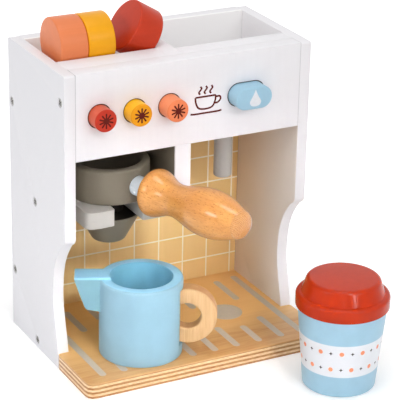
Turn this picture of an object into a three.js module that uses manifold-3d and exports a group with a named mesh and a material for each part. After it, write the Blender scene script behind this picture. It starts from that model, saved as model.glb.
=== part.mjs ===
// Wooden toy coffee maker: a screwed box with four sprung buttons, three coffee pods in a bin,
// a filter with a turned handle in its forked holder, a jug, and a takeaway cup with a lid.
// Millimetres, +Z up, +X to the viewer's right, -Y to the front.
// The origin is on the floor, midway between the sides, in the plane of their front edges.

import * as THREE from 'three';
import { mergeVertices } from 'three/addons/utils/BufferGeometryUtils.js';
import Module from 'manifold-3d';

const wasm = await Module();
wasm.setup();

// Machine box
const width = 240;
const height = 280.8;
const depth = 122.2;
const sideThickness = 10.4;
const backThickness = 13.5;
const topCornerRadius = 2.5;
const seatGap = 0.3;
const overrun = 1;

// Front curve of each side
const curveTop = 131.6;
const shoulderDrop = 8.6;
const shoulderSetback = 7.8;
const waistHeight = 67.5;
const waistSetback = 27.8;
const footSetback = 17.5;
const footHeight = 14.6;

// Base board
const baseThickness = 14.6;
const baseReach = 49;
const baseCornerRadius = 9;
const baseRearCornerRadius = 3;

// Front panel, divider and bins
const panelHeight = 78.1;
const panelThickness = 17;
const dividerThickness = 15.3;
const dividerCentre = -6.5;
const leftBlockThickness = 22.5;
const rightBlockThickness = 16.5;
const leftBinDepth = 16.9;
const binFloorThickness = 10;

// Filter holder
const holderTop = 151.2;
const holderThickness = 15.2;
const holderSideGap = 12.3;
const holderSetback = 3.6;
const holderCrown = 1.2;
const holderCornerRadius = 8;
const holderTipRadius = 2;
const holderShoulder = 48;
const slotClearance = 0.6;

// Water spout
const spoutRadius = 8.4;
const spoutAcross = 63.5;
const spoutBack = 55;
const spoutLength = 60.2;
const spoutEdgeRadius = 2;

// Buttons
const buttonDrop = 39.5;
const buttonRadius = 10.2;
const buttonGap = 1;
const buttonReach = 14.5;
const buttonEdgeRadius = 1.2;
const buttonPitch = 33.3;
const firstButtonAcross = -87;
const wideButtonAcross = 55.3;
const wideButtonLength = 36;
const wideButtonReach = 15;
const collarThickness = 3;
const collarOverlap = 1.8;
const collarRunningGap = 0.6;
const guideRadius = 5;
const guideLength = 4;
const pocketFloor = 3;
const wireRadius = 0.6;
const coilRadius = 9;
const leftCoils = 4;
const rightCoils = 3;

// Screws
const screwHeadRadius = 4;
const screwHeadHeight = 1.8;
const screwSink = 0.4;
const screwShankRadius = 1.9;
const screwLength = 26;
const screwUpperDrop = 58.4;
const screwLowerHeight = 57.3;
const screwPanelDrop = 25.5;
const screwBaseBack = 64.6;
const screwHolderBack = 65.8;

// Filter
const filterAcross = -56.8;
const filterBack = 46.3;
const filterRadius = 36.6;
const filterHeight = 32;
const filterWall = 8;
const filterFloor = 5;
const filterRimRadius = 2.4;
const neckRadius = 13.2;
const neckLength = 17.5;
const coneTopRadius = 29.5;
const coneBottomRadius = 14.5;
const coneHeight = 28.1;
const coneEdgeRadius = 0.8;
const coneFootRadius = 5;
const pegRadius = 9;
const pegHeight = 15.3;
const pegBite = 6;
const pegShow = 17.9;
const pegInHandle = 15;
const handleTurn = THREE.MathUtils.degToRad(19);
const handleLength = 108.3;
const collarRadius = 21.7;
const waistRadius = 14.7;
const bellyRadius = 21.3;

// Pods
const podRadius = 24.1;
const podThickness = 25.6;
const podEdgeRadius = 1.2;
const podSideGap = 5.6;
const podLean = THREE.MathUtils.degToRad(31);

// Jug
const jugAcross = -49.2;
const jugBack = -5.7;
const jugTurn = THREE.MathUtils.degToRad(-29);
const jugRadius = 37.4;
const jugHeight = 73.2;
const jugWall = 9.3;
const jugFloor = 7;
const jugEdgeRadius = 1.5;
const jugFlat = 2.6;
const lipTurn = THREE.MathUtils.degToRad(3.5);
const lipReach = 59;
const lipWidth = 20;
const lipRise = 2;
const lipDepth = 34.2;
const lipSlope = 9.7;
const lipNose = 3;
const lipCornerRadius = 5;
const ringRadius = 26.6;
const ringHole = 12.3;
const ringThickness = 14;
const ringAcross = 41.7;
const ringHeight = 37.5;
const ringEdgeRadius = 1.5;
const jugDowelRadius = 3;
const jugDowelLength = 11;
const jugDowelSpread = 19.5;
const jugDowelBite = 4.7;

// Takeaway cup
const cupAcross = 95.6;
const cupBack = -111;
const cupBottomRadius = 32.4;
const cupTopRadius = 39.3;
const cupHeight = 75.2;
const cupWall = 6.5;
const cupFloor = 7;
const cupEdgeRadius = 1.5;
const brimRadius = 40.9;
const brimHeight = 13;
const brimEdgeRadius = 3.5;
const domeBaseRadius = 35.6;
const domeTopRadius = 31.1;
const domeHeight = 13.6;
const domeEdgeRadius = 5;
const lidPlugDepth = 5;
const lidPlugGap = 0.6;

// Roundness of the meshes, in sides or steps
const largeSides = 40;
const smallSides = 28;
const screwSides = 12;
const arcSteps = 3;
const curveSteps = 10;
const coilSteps = 8;
const wireSides = 5;
const weldTolerance = 1e-4;

// Derived places
const halfWidth = width / 2;
const innerHalf = halfWidth - sideThickness;
const backFace = depth - backThickness;
const panelBottom = height - panelHeight;
const buttonHeight = height - buttonDrop;
const dividerLeft = dividerCentre - dividerThickness / 2;
const dividerRight = dividerCentre + dividerThickness / 2;
const holderBottom = holderTop - holderThickness;
const leftFloorTop = height - leftBinDepth;
const rightFloorTop = panelBottom + binFloorThickness;
const slotHalf = neckRadius + slotClearance;

const finishes = {
  whitePaint: { color: 0xf0efee, roughness: 0.45, metalness: 0 },
  tiles: { color: 0xe9c48d, roughness: 0.5, metalness: 0 },
  plywood: { color: 0xdfa363, roughness: 0.5, metalness: 0 },
  paleGrey: { color: 0xccc9c7, roughness: 0.45, metalness: 0 },
  darkGrey: { color: 0x827b6e, roughness: 0.4, metalness: 0 },
  black: { color: 0x1c1914, roughness: 0.6, metalness: 0 },
  beech: { color: 0xe0a463, roughness: 0.35, metalness: 0 },
  red: { color: 0xd2452d, roughness: 0.35, metalness: 0 },
  orange: { color: 0xee8a5b, roughness: 0.4, metalness: 0 },
  yellow: { color: 0xf0a811, roughness: 0.4, metalness: 0 },
  blue: { color: 0x9fcbe2, roughness: 0.4, metalness: 0 },
  steel: { color: 0xa9a9a9, roughness: 0.35, metalness: 1 },
};

const toyCoffeeMaker = new THREE.Group();

// Mesh helpers

function signedVolume(triangles, points) {
  const [a, b, c] = [new THREE.Vector3(), new THREE.Vector3(), new THREE.Vector3()];
  let sum = 0;
  for (let i = 0; i < triangles.length; i += 3) {
    a.fromArray(points, triangles[i] * 3);
    b.fromArray(points, triangles[i + 1] * 3);
    c.fromArray(points, triangles[i + 2] * 3);
    sum += a.dot(b.cross(c));
  }
  return sum;
}

function toSolid(geometry) {
  const bare = new THREE.BufferGeometry();
  bare.setAttribute('position', geometry.getAttribute('position'));
  bare.setIndex(geometry.getIndex());
  const welded = mergeVertices(bare, weldTolerance);
  const points = welded.getAttribute('position').array;
  const corners = welded.getIndex().array;
  const kept = [];
  for (let i = 0; i < corners.length; i += 3) {
    const [a, b, c] = corners.slice(i, i + 3);
    if (a !== b && b !== c && c !== a) kept.push(a, b, c);
  }
  if (signedVolume(kept, points) < 0) kept.reverse();
  return new wasm.Manifold(new wasm.Mesh({
    numProp: 3,
    vertProperties: new Float32Array(points),
    triVerts: new Uint32Array(kept),
  }));
}

function toGeometry(solid) {
  const mesh = solid.getMesh();
  const geometry = new THREE.BufferGeometry();
  geometry.setAttribute('position', new THREE.BufferAttribute(mesh.vertProperties, 3));
  geometry.setIndex(new THREE.BufferAttribute(mesh.triVerts, 1));
  geometry.computeVertexNormals();
  return geometry;
}

function addPiece(parent, name, solid, finish) {
  const material = new THREE.MeshStandardMaterial({ ...finishes[finish], flatShading: true });
  const piece = new THREE.Mesh(toGeometry(solid), material);
  piece.name = name;
  parent.add(piece);
  return piece;
}

function addGroup(x, y, z, parent = toyCoffeeMaker) {
  const group = new THREE.Group();
  group.position.set(x, y, z);
  parent.add(group);
  return group;
}

function moved(geometry, x, y, z) {
  geometry.translate(x, y, z);
  return geometry;
}

function box(low, high) {
  const size = high.map((value, axis) => value - low[axis]);
  const centre = high.map((value, axis) => (value + low[axis]) / 2);
  return toSolid(moved(new THREE.BoxGeometry(...size), ...centre));
}

function turned(profile, sides) {
  return new THREE.LatheGeometry(profile, sides);
}

function turnedUpright(profile, sides) {
  return turned(profile, sides).rotateX(Math.PI / 2);
}

function rod(radius, length, sides) {
  const profile = [[0, 0], [radius, 0], [radius, length], [0, length]];
  return turned(profile.map(([r, along]) => new THREE.Vector2(r, along)), sides);
}

// An outline with each corner given as [across, up, radius].
function roundedShape(corners) {
  const shape = new THREE.Shape();
  corners.forEach(([x, y, radius], index) => {
    const here = new THREE.Vector2(x, y);
    const before = corners.at(index - 1);
    const after = corners[(index + 1) % corners.length];
    const toBefore = new THREE.Vector2(before[0], before[1]).sub(here).setLength(radius);
    const toAfter = new THREE.Vector2(after[0], after[1]).sub(here).setLength(radius);
    const start = here.clone().add(toBefore);
    const end = here.clone().add(toAfter);
    if (index === 0) shape.moveTo(start.x, start.y);
    else shape.lineTo(start.x, start.y);
    if (radius > 0) shape.quadraticCurveTo(here.x, here.y, end.x, end.y);
  });
  shape.closePath();
  return shape;
}

// A turned outline with each corner given as [radius, along, rounding].
function turnedOutline(corners) {
  const outline = roundedShape(corners).getPoints(arcSteps);
  if (!outline[0].equals(outline.at(-1))) outline.push(outline[0].clone());
  return outline;
}

function extruded(shape, thickness, steps = arcSteps) {
  return new THREE.ExtrudeGeometry(shape, {
    depth: thickness,
    bevelEnabled: false,
    curveSegments: steps,
  });
}

// Turns an extrusion so that its outline lies in Y and Z and its thickness runs along +X.
function facingAcross(geometry) {
  const basis = new THREE.Matrix4().makeBasis(
    new THREE.Vector3(0, 1, 0),
    new THREE.Vector3(0, 0, 1),
    new THREE.Vector3(1, 0, 0),
  );
  return geometry.applyMatrix4(basis);
}

// Turns an extrusion so that its outline lies in X and Z and its thickness runs along +Y.
function facingBack(geometry) {
  return geometry.rotateX(Math.PI / 2).scale(1, -1, 1);
}

function stadium(length, radius) {
  const run = length / 2 - radius;
  const shape = new THREE.Shape();
  shape.absarc(run, 0, radius, -Math.PI / 2, Math.PI / 2);
  shape.absarc(-run, 0, radius, Math.PI / 2, Math.PI * 3 / 2);
  shape.closePath();
  return shape;
}

// Screws

const screwSpots = [
  { y: depth - backThickness / 2, z: height - screwUpperDrop },
  { y: depth - backThickness / 2, z: screwLowerHeight },
  { y: panelThickness / 2, z: height - screwPanelDrop },
  { y: screwBaseBack, z: baseThickness / 2 },
];
const holderScrewSpot = { y: screwHolderBack, z: holderBottom + holderThickness / 2 };
const leftSpots = [...screwSpots, holderScrewSpot];

function screwProfile(extra) {
  const head = screwHeadRadius + extra;
  const shank = screwShankRadius + extra;
  const neckAt = screwSink + screwHeadHeight;
  const start = extra > 0 ? -overrun : screwSink;
  const end = neckAt + screwLength - screwHeadHeight + extra;
  const points = [[0, start], [head, start], [head, neckAt], [shank, neckAt], [shank, end], [0, end]];
  return points.map(([r, along]) => new THREE.Vector2(r, along));
}

function screwSolid(spot, fromLeft, extra) {
  const geometry = turned(screwProfile(extra), screwSides).rotateZ(fromLeft ? -Math.PI / 2 : Math.PI / 2);
  const x = fromLeft ? -halfWidth : halfWidth;
  return toSolid(moved(geometry, x, spot.y, spot.z));
}

function withScrewHoles(solid) {
  let drilled = solid;
  for (const spot of leftSpots) drilled = drilled.subtract(screwSolid(spot, true, seatGap));
  for (const spot of screwSpots) drilled = drilled.subtract(screwSolid(spot, false, seatGap));
  return drilled;
}

function addScrews() {
  leftSpots.forEach((spot, index) => {
    addPiece(toyCoffeeMaker, `left_screw_${index + 1}`, screwSolid(spot, true, 0), 'steel');
  });
  screwSpots.forEach((spot, index) => {
    addPiece(toyCoffeeMaker, `right_screw_${index + 1}`, screwSolid(spot, false, 0), 'steel');
  });
}

// Boards

function sideOutline() {
  const shape = new THREE.Shape();
  const shoulderZ = curveTop - shoulderDrop;
  const upperPullShares = { shoulder: [0.35, 0.18], waist: 0.64 };
  const lowerPullShares = { waist: 0.34, foot: [0.3, 0.36] };
  const upperRise = shoulderZ - waistHeight;
  const lowerRise = waistHeight - footHeight;
  const setbackRun = waistSetback - shoulderSetback;
  shape.moveTo(footSetback, 0);
  shape.lineTo(depth, 0);
  shape.lineTo(depth, height - topCornerRadius);
  shape.quadraticCurveTo(depth, height, depth - topCornerRadius, height);
  shape.lineTo(topCornerRadius, height);
  shape.quadraticCurveTo(0, height, 0, height - topCornerRadius);
  shape.lineTo(0, curveTop);
  shape.quadraticCurveTo(0, curveTop - shoulderDrop / 2, shoulderSetback, shoulderZ);
  shape.bezierCurveTo(
    shoulderSetback + setbackRun * upperPullShares.shoulder[0],
    shoulderZ - upperRise * upperPullShares.shoulder[1],
    waistSetback,
    waistHeight + upperRise * upperPullShares.waist,
    waistSetback,
    waistHeight,
  );
  shape.bezierCurveTo(
    waistSetback,
    waistHeight - lowerRise * lowerPullShares.waist,
    footSetback + (waistSetback - footSetback) * lowerPullShares.foot[0],
    footHeight + lowerRise * lowerPullShares.foot[1],
    footSetback,
    footHeight,
  );
  shape.closePath();
  return shape;
}

function addSides() {
  for (const [name, x] of [['left_side', -halfWidth], ['right_side', innerHalf]]) {
    const board = facingAcross(extruded(sideOutline(), sideThickness, curveSteps));
    addPiece(toyCoffeeMaker, name, withScrewHoles(toSolid(moved(board, x, 0, 0))), 'whitePaint');
  }
}

function addBackPanel() {
  const board = box([-innerHalf, backFace, 0], [innerHalf, depth, height]);
  addPiece(toyCoffeeMaker, 'back_panel', withScrewHoles(board), 'tiles');
}

function addBaseBoard() {
  const shape = roundedShape([
    [-halfWidth, -baseReach, baseCornerRadius],
    [halfWidth, -baseReach, baseCornerRadius],
    [halfWidth, footSetback, baseRearCornerRadius],
    [innerHalf, footSetback, 0],
    [innerHalf, backFace, 0],
    [-innerHalf, backFace, 0],
    [-innerHalf, footSetback, 0],
    [-halfWidth, footSetback, baseRearCornerRadius],
  ]);
  const board = toSolid(extruded(shape, baseThickness));
  addPiece(toyCoffeeMaker, 'base_board', withScrewHoles(board), 'plywood');
}

// Button places: the three round ones in a row on the left and the wide one on the right.

const roundButtons = ['red', 'yellow', 'orange'].map((colour, index) => ({
  colour,
  x: firstButtonAcross + buttonPitch * index,
  length: buttonRadius * 2,
  reach: buttonReach,
  pocketEnd: panelThickness + leftBlockThickness - pocketFloor,
  coils: leftCoils,
}));
const wideButton = {
  colour: 'blue',
  x: wideButtonAcross,
  length: wideButtonLength,
  reach: wideButtonReach,
  pocketEnd: panelThickness + rightBlockThickness - pocketFloor,
  coils: rightCoils,
};
const buttons = [...roundButtons, wideButton];

function buttonPrism(button, extra, from, to) {
  const shape = stadium(button.length + extra * 2, buttonRadius + extra);
  const prism = facingBack(extruded(shape, to - from, curveSteps));
  return toSolid(moved(prism, 0, from, 0));
}

function placedAt(solid, button) {
  return solid.translate([button.x, 0, buttonHeight]);
}

function withButtonPockets(solid) {
  const pocketExtra = buttonGap + collarOverlap + collarRunningGap;
  const from = panelThickness - overrun;
  return buttons.reduce((board, button) => (
    board.subtract(placedAt(buttonPrism(button, pocketExtra, from, button.pocketEnd), button))
  ), solid);
}

function addFrontPanel() {
  let board = box([-innerHalf, 0, panelBottom], [innerHalf, panelThickness, height]);
  for (const button of buttons) {
    const hole = buttonPrism(button, buttonGap, -overrun, panelThickness + overrun);
    board = board.subtract(placedAt(hole, button));
  }
  addPiece(toyCoffeeMaker, 'front_panel', withScrewHoles(board), 'whitePaint');
}

function addButtonBlocks() {
  const leftEnd = panelThickness + leftBlockThickness;
  const rightEnd = panelThickness + rightBlockThickness;
  const left = box([-innerHalf, panelThickness, panelBottom], [dividerLeft, leftEnd, height]);
  const right = box([dividerRight, panelThickness, panelBottom], [innerHalf, rightEnd, height]);
  addPiece(toyCoffeeMaker, 'left_button_block', withButtonPockets(left), 'whitePaint');
  addPiece(toyCoffeeMaker, 'right_button_block', withButtonPockets(right), 'whitePaint');
}

function addDivider() {
  const shape = new THREE.Shape([
    [0, holderBottom],
    [backFace, holderBottom],
    [backFace, height],
    [panelThickness, height],
    [panelThickness, panelBottom],
    [0, panelBottom],
  ].map(([y, z]) => new THREE.Vector2(y, z)));
  const board = facingAcross(extruded(shape, dividerThickness));
  const placed = toSolid(moved(board, dividerLeft, 0, 0));
  addPiece(toyCoffeeMaker, 'divider', withButtonPockets(placed), 'whitePaint');
}

function addBinFloors() {
  const leftFront = panelThickness + leftBlockThickness;
  const rightFront = panelThickness + rightBlockThickness;
  const leftFloorBottom = leftFloorTop - binFloorThickness;
  const left = box([-innerHalf, leftFront, leftFloorBottom], [dividerLeft, backFace, leftFloorTop]);
  const right = box([dividerRight, rightFront, panelBottom], [innerHalf, backFace, rightFloorTop]);
  addPiece(toyCoffeeMaker, 'left_bin_floor', left, 'whitePaint');
  addPiece(toyCoffeeMaker, 'right_bin_floor', right, 'whitePaint');
}

// Buttons, with the collar that holds each one in and the spring that pushes it out.

function buttonKnob(button) {
  const shoulder = panelThickness + seatGap;
  const guideEnd = shoulder + guideLength;
  const front = -button.reach;
  const inset = buttonEdgeRadius;
  const softEdge = buttonPrism(button, -inset, front, front + inset * 2);
  const middle = buttonPrism(button, -inset / 3, front + inset / 3, shoulder);
  const body = buttonPrism(button, 0, front + inset, shoulder);
  const guide = toSolid(moved(rod(guideRadius, guideEnd - front - inset, smallSides), 0, front + inset, 0));
  return softEdge.add(middle).add(body).add(guide);
}

function buttonCollar(button) {
  const from = panelThickness + seatGap;
  const plate = buttonPrism(button, buttonGap + collarOverlap, from, from + collarThickness);
  const bore = rod(guideRadius + seatGap, collarThickness + overrun * 2, smallSides);
  return plate.subtract(toSolid(moved(bore, 0, from - overrun, 0)));
}

function helixPoints(length, coils) {
  const points = [];
  const count = coils * coilSteps;
  for (let step = 0; step <= count; step += 1) {
    const angle = step / coilSteps * Math.PI * 2;
    const along = wireRadius + (length - wireRadius * 2) * step / count;
    points.push(new THREE.Vector3(Math.cos(angle) * coilRadius, along, Math.sin(angle) * coilRadius));
  }
  return points;
}

function leastWireGap(points) {
  let least = Infinity;
  for (let i = 0; i < points.length; i += 1) {
    for (let j = i + coilSteps / 2; j < points.length; j += 1) {
      least = Math.min(least, points[i].distanceTo(points[j]) - wireRadius * 2);
    }
  }
  return least;
}

function springSolid(length, coils) {
  const points = helixPoints(length, coils);
  const corners = [];
  const faces = [];
  points.forEach((point, step) => {
    const angle = step / coilSteps * Math.PI * 2;
    const outward = new THREE.Vector3(Math.cos(angle), 0, Math.sin(angle));
    for (let side = 0; side < wireSides; side += 1) {
      const turn = side / wireSides * Math.PI * 2;
      const corner = outward.clone().multiplyScalar(Math.cos(turn) * wireRadius);
      corner.y += Math.sin(turn) * wireRadius;
      corners.push(...corner.add(point).toArray());
    }
  });
  const ring = (step, side) => step * wireSides + side % wireSides;
  for (let step = 0; step < points.length - 1; step += 1) {
    for (let side = 0; side < wireSides; side += 1) {
      faces.push(ring(step, side), ring(step + 1, side), ring(step + 1, side + 1));
      faces.push(ring(step, side), ring(step + 1, side + 1), ring(step, side + 1));
    }
  }
  const last = points.length - 1;
  for (let side = 1; side < wireSides - 1; side += 1) {
    faces.push(ring(0, 0), ring(0, side), ring(0, side + 1));
    faces.push(ring(last, 0), ring(last, side + 1), ring(last, side));
  }
  const geometry = new THREE.BufferGeometry();
  geometry.setAttribute('position', new THREE.Float32BufferAttribute(corners, 3));
  geometry.setIndex(faces);
  console.log(`least gap between coils: ${leastWireGap(points).toFixed(2)} mm`);
  return toSolid(geometry);
}

function addButtons() {
  for (const button of buttons) {
    const group = addGroup(button.x, 0, buttonHeight);
    const springFrom = panelThickness + seatGap + collarThickness + seatGap;
    const springLength = button.pocketEnd - seatGap - springFrom;
    const spring = springSolid(springLength, button.coils).translate([0, springFrom, 0]);
    addPiece(group, `${button.colour}_button`, buttonKnob(button), button.colour);
    addPiece(group, `${button.colour}_button_collar`, buttonCollar(button), 'beech');
    addPiece(group, `${button.colour}_button_spring`, spring, 'steel');
  }
}

// Filter holder: a plate round the back of a slot, with two arms that point forward.

function addFilterHolder() {
  const left = -innerHalf + holderSideGap;
  const front = holderSetback;
  const slotLeft = filterAcross - slotHalf;
  const slotRight = filterAcross + slotHalf;
  const shape = new THREE.Shape();
  shape.moveTo(left, holderShoulder);
  shape.lineTo(left, front + holderCornerRadius);
  shape.quadraticCurveTo(left, front, left + holderCornerRadius, front - holderCrown / 2);
  shape.lineTo((left + slotLeft) / 2, front - holderCrown);
  shape.lineTo(slotLeft - holderTipRadius, front - holderCrown / 2);
  shape.quadraticCurveTo(slotLeft, front, slotLeft, front + holderTipRadius);
  shape.lineTo(slotLeft, filterBack);
  shape.absarc(filterAcross, filterBack, slotHalf, Math.PI, 0, true);
  shape.lineTo(slotRight, front + holderTipRadius);
  shape.quadraticCurveTo(slotRight, front, slotRight + holderTipRadius, front);
  shape.lineTo(dividerLeft, front);
  shape.lineTo(dividerLeft, backFace);
  shape.lineTo(-innerHalf, backFace);
  shape.lineTo(-innerHalf, holderShoulder);
  shape.closePath();
  const plate = moved(extruded(shape, holderThickness, curveSteps), 0, 0, holderBottom);
  addPiece(toyCoffeeMaker, 'filter_holder', withScrewHoles(toSolid(plate)), 'paleGrey');
}

function addWaterSpout() {
  const outline = turnedOutline([
    [0, 0, 0],
    [spoutRadius, 0, spoutEdgeRadius],
    [spoutRadius, spoutLength, 0],
    [0, spoutLength, 0],
  ]);
  const dowel = turnedUpright(outline, smallSides);
  const group = addGroup(spoutAcross, spoutBack, panelBottom - spoutLength);
  addPiece(group, 'water_spout', toSolid(dowel), 'paleGrey');
}

// Filter: cup, neck and cone on one axis, with a peg and a turned handle to the front right.

function handleProfile() {
  const shares = [
    { along: 0.018, radius: 0.94, of: collarRadius },
    { along: 0.055, radius: 1, of: collarRadius },
    { along: 0.12, radius: 0.89, of: collarRadius },
    { along: 0.2, radius: 1.06, of: waistRadius },
    { along: 0.27, radius: 1, of: waistRadius },
    { along: 0.36, radius: 1.09, of: waistRadius },
    { along: 0.48, radius: 0.93, of: bellyRadius },
    { along: 0.6, radius: 1, of: bellyRadius },
    { along: 0.74, radius: 0.95, of: bellyRadius },
    { along: 0.87, radius: 0.78, of: bellyRadius },
    { along: 0.955, radius: 0.58, of: bellyRadius },
    { along: 0.993, radius: 0.36, of: bellyRadius },
  ];
  const knots = shares.map((share) => (
    new THREE.Vector2(share.radius * share.of, share.along * handleLength)
  ));
  const backShare = 0.82;
  return [
    new THREE.Vector2(0, 0),
    new THREE.Vector2(collarRadius * backShare, 0),
    ...new THREE.SplineCurve(knots).getPoints(curveSteps * 2),
    new THREE.Vector2(0, handleLength),
  ];
}

function addFilter() {
  const group = addGroup(filterAcross, filterBack, holderTop);
  const inner = filterRadius - filterWall;
  const cupOutline = turnedOutline([
    [0, 0, 0],
    [filterRadius, 0, coneEdgeRadius],
    [filterRadius, filterHeight, filterRimRadius],
    [inner, filterHeight, filterRimRadius],
    [inner, filterFloor, filterRimRadius],
    [0, filterFloor, 0],
  ]);
  const coneOutline = turnedOutline([
    [0, -neckLength - coneHeight, 0],
    [coneBottomRadius, -neckLength - coneHeight, coneFootRadius],
    [coneTopRadius, -neckLength, coneEdgeRadius],
    [0, -neckLength, 0],
  ]);
  const pegStart = filterRadius - pegBite;
  const handleStart = filterRadius + pegShow;
  const pegLength = pegBite + pegShow + pegInHandle;
  const forward = (geometry, along) => moved(geometry.rotateX(Math.PI), 0, -along, pegHeight);
  const pegHole = toSolid(forward(rod(pegRadius + seatGap, pegLength, smallSides), pegStart - seatGap));
  const aimed = (solid) => solid.rotate([0, 0, THREE.MathUtils.radToDeg(handleTurn)]);
  const cup = toSolid(turnedUpright(cupOutline, largeSides)).subtract(aimed(pegHole));
  const neck = moved(rod(neckRadius, neckLength, smallSides).rotateX(Math.PI / 2), 0, 0, -neckLength);
  addPiece(group, 'filter_cup', cup, 'darkGrey');
  addPiece(group, 'filter_neck', toSolid(neck), 'black');
  addPiece(group, 'filter_cone', toSolid(turnedUpright(coneOutline, largeSides)), 'darkGrey');

  const arm = addGroup(0, 0, 0, group);
  arm.rotation.z = handleTurn;
  const peg = toSolid(forward(rod(pegRadius, pegLength, smallSides), pegStart));
  const grip = toSolid(forward(turned(handleProfile(), smallSides), handleStart));
  const socketLength = pegInHandle + seatGap + overrun;
  const socket = toSolid(forward(rod(pegRadius + seatGap, socketLength, smallSides), handleStart - overrun));
  addPiece(arm, 'handle_peg', peg, 'paleGrey');
  addPiece(arm, 'filter_handle', grip.subtract(socket), 'beech');
}

// Pods: two stand on edge in the left bin and the third leans on the divider.

function podSolid() {
  const half = podThickness / 2;
  const outline = turnedOutline([
    [0, -half, 0],
    [podRadius, -half, podEdgeRadius],
    [podRadius, half, podEdgeRadius],
    [0, half, 0],
  ]);
  return toSolid(turned(outline, largeSides).rotateZ(Math.PI / 2));
}

function addPods() {
  const y = panelThickness + leftBlockThickness + seatGap + podRadius;
  const standing = leftFloorTop + seatGap + podRadius;
  const half = podThickness / 2;
  const orangeX = -innerHalf + podSideGap + half;
  const yellowX = orangeX + podThickness + seatGap;
  const rise = Math.sin(podLean) * half + Math.cos(podLean) * podRadius;
  const redZ = leftFloorTop + seatGap + rise;
  const overEdge = (height - redZ) * Math.sin(podLean);
  const redX = dividerLeft - (half + seatGap + overEdge) / Math.cos(podLean);
  const places = [
    { colour: 'orange', x: orangeX, z: standing, lean: 0 },
    { colour: 'yellow', x: yellowX, z: standing, lean: 0 },
    { colour: 'red', x: redX, z: redZ, lean: podLean },
  ];
  for (const place of places) {
    const pod = addPiece(toyCoffeeMaker, `${place.colour}_pod`, podSolid(), place.colour);
    pod.position.set(place.x, y, place.z);
    pod.rotation.y = place.lean;
  }
}

// Jug: its handle points along +X in the jug's own group and its lip nearly along -X.

function lipSolid() {
  const lipTop = jugHeight + lipRise;
  const underside = lipTop - lipDepth;
  const shape = roundedShape([
    [-lipReach, lipTop, 0],
    [-lipReach, lipTop - lipNose, 0],
    [-lipReach + lipSlope, underside + lipNose, lipCornerRadius],
    [0, underside - lipNose, 0],
    [0, lipTop, 0],
  ]);
  const lip = moved(facingBack(extruded(shape, lipWidth)), 0, -lipWidth / 2, 0);
  return toSolid(lip.rotateZ(lipTurn));
}

function ringSolid() {
  const half = ringThickness / 2;
  const outline = turnedOutline([
    [ringHole, -half, ringEdgeRadius],
    [ringRadius, -half, ringEdgeRadius],
    [ringRadius, half, ringEdgeRadius],
    [ringHole, half, ringEdgeRadius],
  ]);
  return toSolid(moved(turned(outline, largeSides), ringAcross, 0, ringHeight));
}

function jugDowel(z, extra) {
  const start = jugRadius - jugFlat - jugDowelBite - extra;
  const dowel = rod(jugDowelRadius + extra, jugDowelLength + extra * 2, screwSides).rotateZ(-Math.PI / 2);
  return toSolid(moved(dowel, start, 0, z));
}

function addJug() {
  const group = addGroup(jugAcross, jugBack, baseThickness);
  group.rotation.z = jugTurn;
  const inner = jugRadius - jugWall;
  const flatAt = jugRadius - jugFlat;
  const outline = turnedOutline([
    [0, 0, 0],
    [jugRadius, 0, jugEdgeRadius],
    [jugRadius, jugHeight, jugEdgeRadius],
    [inner, jugHeight, jugEdgeRadius],
    [inner, jugFloor, jugEdgeRadius],
    [0, jugFloor, 0],
  ]);
  const hollow = toSolid(moved(turnedUpright([
    new THREE.Vector2(0, 0),
    new THREE.Vector2(inner, 0),
    new THREE.Vector2(inner, jugHeight),
    new THREE.Vector2(0, jugHeight),
  ], largeSides), 0, 0, jugFloor));
  const flatLow = ringHeight - ringRadius - seatGap;
  const flatHigh = ringHeight + ringRadius + seatGap;
  const notch = box([flatAt, -jugRadius, flatLow], [jugRadius + overrun, jugRadius, flatHigh]);
  const keep = box([flatAt + seatGap, -ringRadius, 0], [lipReach * 2, ringRadius, jugHeight]);
  const dowelHeights = [ringHeight + jugDowelSpread, ringHeight - jugDowelSpread];
  let body = toSolid(turnedUpright(outline, largeSides)).add(lipSolid().subtract(hollow)).subtract(notch);
  let ring = ringSolid().intersect(keep);
  for (const z of dowelHeights) {
    body = body.subtract(jugDowel(z, seatGap));
    ring = ring.subtract(jugDowel(z, seatGap));
  }
  addPiece(group, 'jug_body', body, 'blue');
  addPiece(group, 'jug_handle', ring, 'beech');
  addPiece(group, 'jug_upper_dowel', jugDowel(dowelHeights[0], 0), 'beech');
  addPiece(group, 'jug_lower_dowel', jugDowel(dowelHeights[1], 0), 'beech');
}

// Takeaway cup and its push-in lid

function addTakeawayCup() {
  const group = addGroup(cupAcross, cupBack, 0);
  const cup = toSolid(turnedUpright(turnedOutline([
    [0, 0, 0],
    [cupBottomRadius, 0, cupEdgeRadius],
    [cupTopRadius, cupHeight, 0],
    [cupTopRadius - cupWall, cupHeight, 0],
    [cupBottomRadius - cupWall, cupFloor, cupEdgeRadius],
    [0, cupFloor, 0],
  ]), largeSides));
  addPiece(group, 'takeaway_cup', cup, 'blue');

  const brimTop = brimHeight + seatGap;
  const plugRadius = cupTopRadius - cupWall - lidPlugGap * 2;
  const lid = moved(turnedUpright(turnedOutline([
    [0, -lidPlugDepth, 0],
    [plugRadius, -lidPlugDepth, lidPlugGap],
    [plugRadius, seatGap, 0],
    [brimRadius, seatGap, cupEdgeRadius],
    [brimRadius, brimTop, brimEdgeRadius],
    [domeBaseRadius, brimTop, cupEdgeRadius],
    [domeTopRadius, brimTop + domeHeight, domeEdgeRadius],
    [0, brimTop + domeHeight, 0],
  ]), largeSides), 0, 0, cupHeight);
  addPiece(group, 'takeaway_lid', toSolid(lid), 'red');
}

addSides();
addBackPanel();
addBaseBoard();
addFrontPanel();
addButtonBlocks();
addDivider();
addBinFloors();
addFilterHolder();
addWaterSpout();
addScrews();
addButtons();
addFilter();
addPods();
addJug();
addTakeawayCup();

export default toyCoffeeMaker;
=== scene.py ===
"""Builds the looks of the toy coffee maker round its packed frame, in metres."""

import math

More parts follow.
